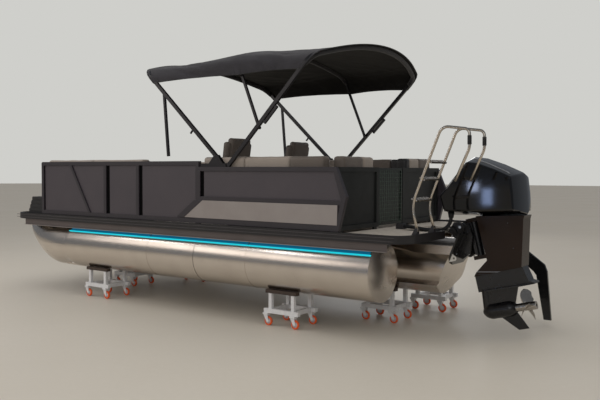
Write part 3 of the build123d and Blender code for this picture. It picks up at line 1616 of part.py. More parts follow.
with BuildPart() as tow_eyes:
    eye_low = stern_face_x(eye_z - 45, transom_face)
    eye_high = stern_face_x(eye_z + 45, transom_face)
    eye_x = stern_face_x(eye_z, transom_face) + eye_stand
    for side in (-1, 1):
        eye_y = side * eye_offset
        with BuildSketch(side_plane(eye_y)):
            with BuildLine():
                Polyline(
                    (eye_low, eye_z - 45),
                    (eye_high, eye_z + 45),
                    (eye_x, eye_z + eye_radius),
                    (eye_x, eye_z - eye_radius),
                    close=True,
                )
            make_face()
            with Locations((eye_x, eye_z)):
                Circle(eye_radius)
                Circle(eye_hole, mode=Mode.SUBTRACT)
        extrude(amount=eye_wall / 2, both=True)
save(tow_eyes, "tow_eyes")

# Shop dollies. Columns: lead, width and name of each dolly
dolly_rows = [
    (4370.0, -tube_spacing, "port_front"),
    (4370.0, tube_spacing, "starboard_front"),
    (4900.0, 0.0, "centre_front"),
    (1190.0, -tube_spacing, "port_rear"),
    (470.0, 0.0, "centre_rear"),
    (300.0, tube_spacing, "starboard_rear"),
]
wheel_radius = wheel_diameter / 2
frame_top = caster_height + dolly_bar
corner_signs = [(-1, -1), (-1, 1), (1, -1), (1, 1)]
crown_top = caster_height - swivel_plate - 14
crown_low = wheel_diameter + swing_gap


def dolly_frame(centre_x, centre_y):
    """Welded frame with four posts and four caster forks."""
    with BuildPart() as frame:
        with BuildSketch(Plane.XY.offset(caster_height)):
            for side in (-1, 1):
                with Locations((centre_x, centre_y + side * caster_track / 2)):
                    Rectangle(dolly_length, dolly_bar)
                with Locations((centre_x + side * post_spacing / 2, centre_y)):
                    Rectangle(dolly_bar, caster_track)
        extrude(amount=dolly_bar)
        with BuildSketch(Plane.XY.offset(frame_top)):
            for x_side, y_side in corner_signs:
                with Locations((centre_x + x_side * post_spacing / 2, centre_y + y_side * pad_offset)):
                    Rectangle(post_section, post_section)
        extrude(amount=post_height)
        for x_side, y_side in corner_signs:
            axle_x = centre_x + x_side * caster_spacing / 2
            fork_x = axle_x - caster_trail
            fork_y = centre_y + y_side * caster_track / 2
            with BuildSketch(Plane.XY.offset(crown_top)):
                with Locations((fork_x, fork_y)):
                    Rectangle(2 * fork_width, 2 * fork_width)
            extrude(amount=caster_height - crown_top)
            with BuildSketch(Plane.XY.offset(crown_low)):
                with Locations((fork_x, fork_y)):
                    Rectangle(1.6 * fork_width, hub_width + 2 * seat_gap + 2 * fork_wall)
            extrude(amount=crown_top - crown_low)
            for side in (-1, 1):
                cheek_y = fork_y + side * (hub_width / 2 + seat_gap + fork_wall / 2)
                with BuildSketch(side_plane(cheek_y)):
                    with BuildLine():
                        Polyline(
                            (fork_x - fork_width * 0.8, crown_low + 4),
                            (fork_x + fork_width * 0.8, crown_low + 4),
                            (axle_x + fork_width / 2, wheel_radius),
                            (axle_x, wheel_radius - fork_width / 2),
                            (axle_x - fork_width / 2, wheel_radius),
                            close=True,
                        )
                    make_face()
                extrude(amount=fork_wall / 2, both=True)
            axle_half = hub_width / 2 + seat_gap + fork_wall
            add(cross_rod(axle_x, wheel_radius, fork_y - axle_half, fork_y + axle_half, axle_radius))
    return frame.part


with BuildPart() as dolly_frames:
    for lead, centre_y, name in dolly_rows:
        add(dolly_frame(tail_x - lead, centre_y))
save(dolly_frames, "dolly_frames")

with BuildPart() as dolly_pads:
    with BuildSketch(Plane.XY.offset(frame_top + post_height)):
        for lead, centre_y, name in dolly_rows:
            for side in (-1, 1):
                with Locations((tail_x - lead, centre_y + side * pad_offset)):
                    Rectangle(pad_length, pad_width)
    extrude(amount=pad_thickness)
save(dolly_pads, "dolly_pads")

# The two casters on each side of a dolly turn about one line
for lead, centre_y, name in dolly_rows:
    for end_name, end in (("fore", -1), ("aft", 1)):
        axle_x = tail_x - lead + end * caster_spacing / 2
        with BuildPart() as wheel_pair:
            for side in (-1, 1):
                wheel_y = centre_y + side * caster_track / 2
                wheel_plane = Plane(origin=(axle_x, wheel_y, wheel_radius), x_dir=(1, 0, 0), z_dir=(0, -1, 0))
                with BuildSketch(wheel_plane):
                    Circle(wheel_radius)
                extrude(amount=wheel_width / 2, both=True)
            chamfer(wheel_pair.edges().filter_by(GeomType.CIRCLE), wheel_chamfer)
            for side in (-1, 1):
                wheel_y = centre_y + side * caster_track / 2
                wheel_plane = Plane(origin=(axle_x, wheel_y, wheel_radius), x_dir=(1, 0, 0), z_dir=(0, -1, 0))
                with BuildSketch(wheel_plane):
                    Circle(hub_radius)
                extrude(amount=hub_width / 2, both=True)
                with BuildSketch(wheel_plane):
                    Circle(axle_radius + seat_gap)
                extrude(amount=hub_width / 2, both=True, mode=Mode.SUBTRACT)
        save(wheel_pair, f"{name}_wheels_{end_name}")
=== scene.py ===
"""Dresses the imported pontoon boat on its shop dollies: finishes, soft goods, wheels, lamps and camera."""

import logging
import math
from dataclasses import dataclass, field
from enum import Enum

import bmesh
import bpy
from mathutils import Matrix, Vector, noise
from mathutils.bvhtree import BVHTree

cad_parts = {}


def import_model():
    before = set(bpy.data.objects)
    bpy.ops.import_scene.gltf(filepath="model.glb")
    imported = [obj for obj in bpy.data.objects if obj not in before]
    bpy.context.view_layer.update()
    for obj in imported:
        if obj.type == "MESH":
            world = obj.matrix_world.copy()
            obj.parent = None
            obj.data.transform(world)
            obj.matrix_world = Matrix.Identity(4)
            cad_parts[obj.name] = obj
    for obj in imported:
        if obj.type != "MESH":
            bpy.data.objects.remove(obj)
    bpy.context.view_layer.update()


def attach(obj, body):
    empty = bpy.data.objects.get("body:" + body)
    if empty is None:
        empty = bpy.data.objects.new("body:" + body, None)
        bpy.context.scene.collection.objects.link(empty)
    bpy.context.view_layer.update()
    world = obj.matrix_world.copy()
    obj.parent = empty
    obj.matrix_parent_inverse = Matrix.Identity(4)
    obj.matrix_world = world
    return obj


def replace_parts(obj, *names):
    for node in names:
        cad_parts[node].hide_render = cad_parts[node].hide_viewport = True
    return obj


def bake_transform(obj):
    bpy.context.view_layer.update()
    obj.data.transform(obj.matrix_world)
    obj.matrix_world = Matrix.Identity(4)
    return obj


LOG = logging.getLogger("pontoon_boat")
Point = tuple[float, float, float]
MM = 0.001
SIDES = ((-1, "port"), (1, "starboard"))
MERGE = 2e-5             # metres within which a CAD node's corners are one
CLOUD_SHARE = 0.6        # of a finish's change of colour; its fine pattern makes the rest
COAT_ROUGHNESS = 0.05
HAIR_RATE = 6.0          # changes per metre along a hairline


def linear(colour: str) -> tuple[float, float, float, float]:
    """Turns an sRGB hex colour into Blender's linear RGBA.

    Args:
        colour: Six hex digits after a hash.

    Returns:
        Linear red, green, blue and full alpha.
    """
    channels = [int(colour[i : i + 2], 16) / 255 for i in (1, 3, 5)]
    return (*[c / 12.92 if c <= 0.04045 else ((c + 0.055) / 1.055) ** 2.4 for c in channels], 1.0)


def add_node(
    tree: bpy.types.NodeTree,
    kind: str,
    values: dict | None = None,
    links: dict | None = None,
    **settings: object,
) -> bpy.types.Node:
    """Adds one node with its settings, socket values and links.

    Args:
        tree: Node tree that gets the node.
        kind: Node type's identifier.
        values: Input socket values by name or number.
        links: Output sockets to link, by the input's name or number.
        settings: Properties of the node itself.

    Returns:
        The new node.
    """
    node = tree.nodes.new(kind)
    for name, value in settings.items():
        setattr(node, name, value)
    for key, value in (values or {}).items():
        node.inputs[key].default_value = value
    for key, source in (links or {}).items():
        tree.links.new(source, node.inputs[key])
    return node


class Pattern(Enum):
    """How a surface's fine relief runs."""

    SPECKLE = "speckle"
    HAIRLINES = "hairlines"
    WEAVE = "weave"
    GRAIN = "grain"


@dataclass(frozen=True)
class Finish:
    """One real material's look.

    It goes from one colour to its shade in clouds of the blotch's size and in a fine pattern of the pitch,
    both in millimetres on the object. The relief is the pattern's strength, and the spread is how far the
    roughness varies.
    """

    name: str
    colour: str
    shade: str
    roughness: float
    blotch: float
    pitch: float
    relief: float
    spread: float = 0.06
    metallic: float = 0.0
    ior: float = 1.5
    coat: float = 0.0
    sheen: float = 0.0
    pattern: Pattern = Pattern.SPECKLE
    glow: str = ""
    glow_power: float = 0.0

    def material(self) -> bpy.types.Material:
        """Builds the material once and returns it after that.

        Returns:
            The node material of this finish.
        """
        known = bpy.data.materials.get(self.name)
        if known:
            return known
        made = bpy.data.materials.new(self.name)
        made.use_nodes = True
        tree = made.node_tree
        shader = tree.nodes["Principled BSDF"]
        place = add_node(tree, "ShaderNodeTexCoord").outputs["Object"]
        cloud_scale = 1 / (self.blotch * MM)
        cloud = add_node(tree, "ShaderNodeTexNoise", {"Scale": cloud_scale, "Detail": 4.0}, {"Vector": place})
        fine = self.fine_pattern(tree, place)
        blend = add_node(
            tree, "ShaderNodeMapRange", {"From Min": 0.3, "From Max": 0.7}, {"Value": cloud.outputs["Fac"]}
        )
        mixed = add_node(
            tree, "ShaderNodeMath", {1: CLOUD_SHARE}, {0: blend.outputs["Result"]}, operation="MULTIPLY"
        )
        both = add_node(
            tree,
            "ShaderNodeMath",
            {1: 1 - CLOUD_SHARE, 2: 0.0},
            {0: fine, 2: mixed.outputs[0]},
            operation="MULTIPLY_ADD",
        )
        share = both.outputs[0]
        colours = {6: linear(self.colour), 7: linear(self.shade)}
        tint = add_node(tree, "ShaderNodeMix", colours, {0: share}, data_type="RGBA")
        limits = {"To Min": self.roughness - self.spread, "To Max": self.roughness + self.spread}
        rough = add_node(tree, "ShaderNodeMapRange", limits, {"Value": share})
        depth = {"Strength": self.relief, "Distance": self.pitch * MM}
        bump = add_node(tree, "ShaderNodeBump", depth, {"Height": fine})
        tree.links.new(tint.outputs[2], shader.inputs["Base Color"])
        tree.links.new(rough.outputs["Result"], shader.inputs["Roughness"])
        tree.links.new(bump.outputs["Normal"], shader.inputs["Normal"])
        shader.inputs["Metallic"].default_value = self.metallic
        if not self.metallic:
            shader.inputs["IOR"].default_value = self.ior
        shader.inputs["Coat Weight"].default_value = self.coat
        shader.inputs["Coat Roughness"].default_value = COAT_ROUGHNESS
        shader.inputs["Sheen Weight"].default_value = self.sheen
        if self.glow:
            shader.inputs["Emission Color"].default_value = linear(self.glow)
            shader.inputs["Emission Strength"].default_value = self.glow_power
        return made

    def fine_pattern(self, tree: bpy.types.NodeTree, place: bpy.types.NodeSocket) -> bpy.types.NodeSocket:
        """Adds the fine relief's texture.

        Args:
            tree: Material's node tree.
            place: Socket with object coordinates.

        Returns:
            Socket whose value runs from 0 to 1.
        """
        per_metre = 1 / (self.pitch * MM)
        if self.pattern is Pattern.WEAVE:
            sides = {}
            for direction in ("X", "Z", "Y"):
                looseness = 0.0 if direction == "Y" else 0.3
                wave = add_node(
                    tree,
                    "ShaderNodeTexWave",
                    {"Scale": per_metre / math.tau, "Distortion": looseness},
                    {"Vector": place},
                    bands_direction=direction,
                )
                sides[direction] = wave.outputs["Fac"]
            ways = {0: sides["X"], 1: sides["Z"]}
            warp = add_node(tree, "ShaderNodeMath", {}, ways, operation="MAXIMUM").outputs[0]
            ways = {0: warp, 1: sides["Y"]}
            return add_node(tree, "ShaderNodeMath", {}, ways, operation="MULTIPLY").outputs[0]
        if self.pattern is Pattern.GRAIN:
            cells = add_node(tree, "ShaderNodeTexVoronoi", {"Scale": per_metre}, {"Vector": place})
            return cells.outputs["Distance"]
        values, vector = {"Scale": per_metre, "Detail": 2.0}, place
        if self.pattern is Pattern.HAIRLINES:
            stretch = {"Scale": (per_metre, HAIR_RATE, HAIR_RATE)}
            vector = add_node(tree, "ShaderNodeMapping", stretch, {"Vector": place}).outputs[0]
            values = {"Scale": 1.0, "Detail": 3.0}
        return add_node(tree, "ShaderNodeTexNoise", values, {"Vector": vector}).outputs["Fac"]


# Mill aluminium sheet, rolled into tubes and wiped: warm silver with broad soft highlights and ring hairlines
TUBE = Finish(
    "brushed_aluminium", "#d8d0c8", "#c9c0b7", 0.25, 320, 3.2, 0.02,
    spread=0.04, metallic=1.0, pattern=Pattern.HAIRLINES,
)
# Extruded aluminium, unpolished: grey and even, with a dull shine
EXTRUSION = Finish("mill_aluminium", "#8f8f8f", "#7d7c7a", 0.42, 90, 1.0, 0.08, metallic=1.0)
# Gloss black powder on the transom plate: deep black with a wet edge
TRANSOM = Finish("black_enamel_plate", "#131315", "#0d0d0f", 0.24, 160, 3.0, 0.01, spread=0.04, coat=0.3)
# Woven vinyl flooring, pale greige, with its basket weave drawn at 12 mm so that it shows
DECK = Finish("woven_vinyl", "#c4bcb2", "#a79f95", 0.72, 70, 12.0, 0.35, pattern=Pattern.WEAVE)
# Extruded EPDM rub rail: matt black with a faint bloom
RAIL = Finish("epdm_rubber", "#1b191b", "#252325", 0.44, 130, 1.6, 0.10)
# The rail's raised lines, worn a little lighter
BEAD = Finish("worn_epdm", "#4b4648", "#3e3a3c", 0.5, 90, 2.0, 0.05)
# Powder-coated trim under the rail, brown-grey satin
SKIRT = Finish("bronze_powder_coat", "#5d5453", "#514947", 0.42, 300, 1.0, 0.06)
# Polycarbonate lens over diodes: even cyan light
LENS = Finish("lit_polycarbonate", "#1fd8ea", "#19c4d6", 0.3, 60, 2.0, 0.02, glow="#19c8dc", glow_power=0.75)
# Painted light: an emitting teal skin on the tubes' shoulders that stands for the light strips' glow on the
# tubes
STRIP_GLOW_PAINT = Finish(
    "painted_strip_glow", "#0d5f80", "#0b4f6e", 0.45, 500, 3.0, 0.05,
    pattern=Pattern.HAIRLINES, glow="#0c6d92", glow_power=0.55,
)
# Powder-coated fence rail, dark plum-grey satin
RAILING = Finish("charcoal_powder_coat", "#353136", "#2e2a2f", 0.38, 240, 2.4, 0.02, spread=0.05)
# Painted aluminium sheet between the rails, a little lighter and flatter
PANEL = Finish("painted_sheet", "#4a4449", "#423d43", 0.40, 420, 2.6, 0.02, spread=0.05)
# Brushed anodised sheet, warm silver
ACCENT = Finish(
    "anodised_sheet", "#a09996", "#938b88", 0.40, 300, 1.6, 0.05,
    spread=0.05, metallic=0.35, pattern=Pattern.HAIRLINES,
)
# Stern panels in near-black powder with a green cast
STERN = Finish("black_powder_coat", "#1e201f", "#171918", 0.48, 200, 1.0, 0.06)
# Tinted sheet in the stern gate, green-black and a little shinier than the fence
GATE_SHEET = Finish("tinted_gate_panel", "#16201b", "#101713", 0.30, 90, 1.0, 0.04)
# Welded wire of the gate, green-black
WIRE = Finish("coated_wire", "#5a6a5f", "#4c5a51", 0.4, 30, 0.8, 0.05)
# Moulded ABS louvres
VENT = Finish("moulded_abs", "#1c1c1e", "#252527", 0.45, 60, 0.8, 0.12)
# Roto-moulded polyethylene seat bases, pebbled
BENCH = Finish("rotomoulded_polyethylene", "#5a534d", "#4e4843", 0.6, 80, 2.2, 0.25, pattern=Pattern.GRAIN)
# Marine vinyl, pale warm beige with leather grain and a soft sheen
VINYL_PALE = Finish(
    "beige_marine_vinyl", "#998e84", "#8b8077", 0.48, 180, 3.0, 0.22,
    spread=0.08, sheen=0.15, pattern=Pattern.GRAIN,
)
# The same vinyl in taupe
VINYL_DARK = Finish(
    "taupe_marine_vinyl", "#625850", "#574e47", 0.46, 180, 3.0, 0.22,
    spread=0.08, sheen=0.15, pattern=Pattern.GRAIN,
)
# Black vinyl for the small insert
VINYL_BLACK = Finish(
    "black_marine_vinyl", "#1a191a", "#222022", 0.42, 120, 3.0, 0.2,
    sheen=0.1, pattern=Pattern.GRAIN,
)
# Gel-coated helm console
CONSOLE = Finish("gelcoat", "#2b292b", "#242224", 0.25, 240, 1.6, 0.03, spread=0.04, coat=0.5)
# Polyurethane grip on the helm wheel
HELM = Finish("polyurethane_grip", "#161617", "#1e1e20", 0.5, 30, 2.0, 0.25, pattern=Pattern.GRAIN)
# Anodised tube of the canopy's bows, satin black
BOW = Finish("black_anodised_tube", "#27262a", "#201f22", 0.36, 90, 3.0, 0.01, spread=0.05, metallic=0.3)
# Solution-dyed acrylic canvas: matt charcoal, threads drawn at 4 mm so that they show
CANVAS = Finish(
    "acrylic_canvas", "#2f2d33", "#28262b", 0.88, 150, 4.0, 0.30,
    spread=0.04, sheen=0.12, pattern=Pattern.WEAVE,
)
# The canvas's coated back, its colour darkened nearly to black as painted shade under the roof
SHADED_COATING = Finish(
    "canvas_coating_painted_shade", "#1b1a18", "#151413", 0.9, 260, 4.0, 0.2, spread=0.03, pattern=Pattern.WEAVE
)
# Its binding tape and pockets, darker where cloth is doubled
BINDING = Finish(
    "canvas_binding", "#232226", "#1c1b1f", 0.82, 60, 3.0, 0.30,
    spread=0.04, sheen=0.2, pattern=Pattern.WEAVE,
)
# Polished stainless tube of the ladder, warm reflections
STEEL = Finish("polished_stainless", "#cfc6ba", "#bdb4a8", 0.24, 160, 6.0, 0.004, spread=0.03, metallic=1.0)
# Nitrile grips and pads
GRIP = Finish("nitrile_rubber", "#1a1a1b", "#242425", 0.62, 40, 2.4, 0.25, pattern=Pattern.GRAIN)
# Cast brackets, powder-coated
BRACKET = Finish("cast_bracket", "#2a292b", "#343235", 0.45, 30, 1.4, 0.2)
# Motor hood: black lacquer under clear coat, mirror-like
LACQUER = Finish(
    "piano_lacquer", "#050507", "#08080a", 0.05, 400, 2.0, 0.004, spread=0.02, ior=1.42, coat=0.35
)
# The leg's cover: brown-black, the brown a painted reflection of the floor, and a little softer
LEG_PAINTED_REFLECTION = Finish("leg_lacquer_painted_reflection", "#241b16", "#2c211b", 0.17, 300, 3.0, 0.004, spread=0.03, ior=1.28)
# Motor castings in satin black
CASTING = Finish("satin_black_casting", "#111012", "#171618", 0.30, 70, 2.6, 0.03, coat=0.2)
# Grey inlay along the hood's edge
INLAY = Finish("grey_inlay", "#8d8f94", "#7f8186", 0.35, 90, 0.8, 0.03, spread=0.04, metallic=0.2)
# Cast aluminium of the block in the hood and of the leg's screws, grey
BLOCK = Finish("cast_aluminium", "#4a4a4c", "#58585a", 0.5, 30, 2.0, 0.3, metallic=0.8)
# Polished stainless propeller
PROPELLER = Finish("cast_stainless", "#bdb7b0", "#a49e97", 0.2, 40, 1.2, 0.05, metallic=1.0)
# Corrugated nylon conduit
HOSE = Finish("nylon_conduit", "#161617", "#1f1f21", 0.48, 25, 6.0, 0.3)
# White nylon towing eyes
EYE = Finish("white_nylon", "#dcdad5", "#cfccc6", 0.4, 30, 1.0, 0.05)
# Dolly frames: bright powder coat, a little scuffed
DOLLY = Finish("silver_powder_coat", "#e4e4e6", "#cfcfd1", 0.40, 45, 1.2, 0.12, spread=0.08)
# Brown rubber on the dollies' saddles
PAD = Finish("brown_rubber", "#4a3c34", "#3c302a", 0.7, 60, 2.4, 0.25, pattern=Pattern.GRAIN)
# Welded seam, darker than the sheet beside it
SEAM = Finish("weld_seam", "#6b6560", "#57524e", 0.5, 20, 2.0, 0.2, metallic=0.8)
# Near-black, nearly unreflecting sheet: painted shade in the gaps beside the posts, and the hood's dark seam
# line
SHADE_AND_SEAM_BLACK = Finish("painted_shade_and_seam_black", "#060607", "#0a0a0b", 0.85, 80, 2.0, 0.02, ior=1.15)
# Sealed workshop floor, pale and even with a faint broad shine
SEALED = Finish("sealed_floor", "#d6cfc4", "#cfc8bc", 0.42, 2400, 60, 0.02, ior=1.33)
# Orange cast polyurethane treads
TREAD = Finish("orange_polyurethane", "#f0652a", "#dc5822", 0.42, 20, 1.2, 0.10)
# Zinc plate of the pressed hubs and the clamp's screws, bright grey
ZINC = Finish("zinc_plate", "#d3d9e2", "#b9c0ca", 0.34, 12, 0.8, 0.05, spread=0.07, metallic=0.45)


# CAD nodes that keep their own shape, by finish
CAD_FINISHES: dict[Finish, tuple[str, ...]] = {
    TUBE: ("port_pontoon", "starboard_pontoon", "centre_pontoon", "motor_pod"),
    TRANSOM: ("transom", "anchor_arm"),
    EXTRUSION: ("cross_channels", "chair_pedestals"),
    DECK: ("deck_floor",),
    RAIL: ("rub_rail",),
    SKIRT: ("deck_skirts",),
    LENS: ("light_strips",),
    RAILING: ("port_fence_frame", "starboard_fence_frame", "bow_fence", "bow_gate"),
    PANEL: ("fence_panels",),
    ACCENT: ("accent_panels",),
    STERN: ("stern_fence",),
    GATE_SHEET: ("stern_gate",),
    VENT: ("bow_vents",),
    BENCH: ("bench_bases",),
    CONSOLE: ("helm_console",),
    HELM: ("helm_wheel",),
    BOW: ("bimini_mounts", "bimini_front_bow", "bimini_rear_bow", "bimini_middle_bow"),
    GRIP: ("ladder_grips",),
    BRACKET: ("stern_fittings",),
    CASTING: ("clamp_bracket", "swivel_bracket"),
    BLOCK: ("engine_block",),
    EYE: ("tow_eyes",),
    DOLLY: ("dolly_frames",),
    PAD: ("dolly_pads",),
}


def finish_object(
    made: bmesh.types.BMesh, name: str, finish: Finish, body: str | None, smooth: bool = True
) -> bpy.types.Object:
    """Turns a bmesh into a piece that rides on a body.

    Args:
        made: Finished mesh in the row frame, in metres; it is freed here.
        name: Piece's name.
        finish: Piece's finish.
        body: Body that carries it, or None for a piece that rides on no body.
        smooth: Whether faces are shaded smooth.

    Returns:
        The new object.
    """
    mesh = bpy.data.meshes.new(name)
    for face in made.faces:
        face.smooth = smooth
    made.to_mesh(mesh)
    made.free()
    piece = bpy.data.objects.new(name, mesh)
    bpy.context.scene.collection.objects.link(piece)
    mesh.materials.append(finish.material())
    if body:
        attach(piece, body)
    LOG.info("%s: %d faces, %s, rides on %s", name, len(mesh.polygons), finish.name, body)
    return piece


def add_bevel(piece: bpy.types.Object, width: float, segments: int = 3) -> None:
    """Rounds a piece's sharp edges with a live bevel and evens its shading.

    Args:
        piece: Mesh object.
        width: Bevel's width in metres.
        segments: Number of strips.
    """
    bevel = piece.modifiers.new("edge_round", "BEVEL")
    bevel.width = width
    bevel.segments = segments
    bevel.limit_method = "ANGLE"
    bevel.angle_limit = math.radians(30.0)
    shade = piece.modifiers.new("even_normals", "WEIGHTED_NORMAL")
    shade.weight = 100
    shade.keep_sharp = True


def tube_piece(
    name: str, points: list[Point], radius: float, finish: Finish, body: str | None, sides: int = 3
) -> bpy.types.Object:
    """Makes a round bar or sewn pocket along points.

    Args:
        name: Piece's name.
        points: Middle line in the row frame.
        radius: Half the thickness, in metres.
        finish: Piece's finish.
        body: Body that carries it.
        sides: Bevel resolution of the round.

    Returns:
        Mesh object with closed ends.
    """
    curve = bpy.data.curves.new(name, "CURVE")
    curve.dimensions = "3D"
    curve.bevel_depth = radius
    curve.bevel_resolution = sides
    curve.use_fill_caps = True
    spline = curve.splines.new("POLY")
    spline.points.add(len(points) - 1)
    for target, point in zip(spline.points, points):
        target.co = (*point, 1.0)
    holder = bpy.data.objects.new(name + "_line", curve)
    mesh = bpy.data.meshes.new_from_object(holder)
    bpy.data.objects.remove(holder)
    made = bmesh.new()
    made.from_mesh(mesh)
    bpy.data.meshes.remove(mesh)
    bmesh.ops.remove_doubles(made, verts=made.verts, dist=1e-5)
    bmesh.ops.recalc_face_normals(made, faces=made.faces)
    return finish_object(made, name, finish, body)


def node_mesh(node: str) -> bmesh.types.BMesh:
    """Copies a CAD node's mesh with its doubled corners merged.

    Args:
        node: CAD node's name.

    Returns:
        The copy.
    """
    made = bmesh.new()
    made.from_mesh(bpy.data.objects[node].data)
    bmesh.ops.remove_doubles(made, verts=made.verts, dist=MERGE)
    return made


def softened_copy(node: str, width: float, finish: Finish, body: str, name: str) -> bpy.types.Object:
    """Copies a CAD node, merges its triangles into whole faces and rounds its edges.

    Args:
        node: CAD node's name.
        width: Edge rounding in metres.
        finish: Piece's finish.
        body: Body that carries it.
        name: Piece's name.

    Returns:
        Piece that stands for the node.
    """
    made = node_mesh(node)
    bmesh.ops.dissolve_limit(made, angle_limit=math.radians(1.0), verts=made.verts, edges=made.edges)
    piece = finish_object(made, name, finish, body)
    add_bevel(piece, width)
    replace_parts(piece, node)
    return piece


def rounded_way(points: tuple[tuple[float, ...], ...]) -> list[tuple[float, ...]]:
    """Smooths a way of straight legs into a curve through its points.

    Args:
        points: Corner points.

    Returns:
        Points of the smooth way, eight to a leg.
    """
    steps = 8
    ends = [Vector(points[0]), *map(Vector, points), Vector(points[-1])]
    way = []
    for a, b, c, d in zip(ends, ends[1:], ends[2:], ends[3:]):
        for step in range(steps):
            t = step / steps
            square, cube = 2 * a - 5 * b + 4 * c - d, 3 * b - a - 3 * c + d
            spot = 0.5 * ((2 * b) + (c - a) * t + square * t * t + cube * t**3)
            way.append(tuple(spot))
    return [*way, tuple(points[-1])]


def smooth_copy(node: str, finish: Finish, body: str, name: str) -> bpy.types.Object:
    """Copies a CAD node with smooth faces and sharp edges where faces turn.

    Args:
        node: CAD node's name.
        finish: Piece's finish.
        body: Body that carries it.
        name: Piece's name.

    Returns:
        Piece that stands for the node.
    """
    made = node_mesh(node)
    for edge in made.edges:
        edge.smooth = not edge.is_manifold or edge.calc_face_angle(0.0) < math.radians(32.0)
    piece = finish_object(made, name, finish, body)
    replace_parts(piece, node)
    return piece


def side_spot(node: str, start: Vector, side: int) -> Vector | None:
    """Finds a place on a CAD node's side face by looking at it square from outside.

    Args:
        node: CAD node's name.
        start: Point beside the node, at the wanted place along and up.
        side: -1 to port, 1 to starboard.

    Returns:
        Point on the face, or None where the node isn't met.
    """
    made = node_mesh(node)
    spot = BVHTree.FromBMesh(made).ray_cast(start, Vector((0, -side, 0)))[0]
    made.free()
    return spot


def patch(
    node: str, name: str, finish: Finish, body: str, cuts: list[tuple[Vector, Vector]], lift: float
) -> bpy.types.Object:
    """Cuts a thin skin out of a CAD node's surface and lifts it off.

    Args:
        node: CAD node's name.
        name: Piece's name.
        finish: Piece's finish.
        body: Body that carries it.
        cuts: Planes as point and normal; what lies ahead of each goes.
        lift: Skin's thickness.

    Returns:
        The skin's piece.
    """
    made = node_mesh(node)
    for place, normal in cuts:
        whole = [*made.verts, *made.edges, *made.faces]
        bmesh.ops.bisect_plane(made, geom=whole, plane_co=place, plane_no=normal, clear_outer=True)
    piece = finish_object(made, name, finish, body, smooth=False)
    skin = piece.modifiers.new("skin", "SOLIDIFY")
    skin.thickness = lift
    skin.offset = 1.0
    return piece


def slab(
    name: str, corners: list[tuple[float, float]], near: float, far: float, finish: Finish, body: str
) -> bpy.types.Object:
    """Extrudes an outline of the boat's side sideways.

    Args:
        name: Piece's name.
        corners: X and height of each corner.
        near: Y of the outline.
        far: Y that it is extruded to.
        finish: Piece's finish.
        body: Body that carries it.

    Returns:
        Closed piece with rounded edges.
    """
    made = bmesh.new()
    face = made.faces.new([made.verts.new((x, near, z)) for x, z in corners])
    grown = bmesh.ops.extrude_face_region(made, geom=[face])
    moved = [item for item in grown["geom"] if isinstance(item, bmesh.types.BMVert)]
    bmesh.ops.translate(made, vec=(0, far - near, 0), verts=moved)
    bmesh.ops.recalc_face_normals(made, faces=made.faces)
    piece = finish_object(made, name, finish, body)
    add_bevel(piece, 0.002, 2)
    return piece


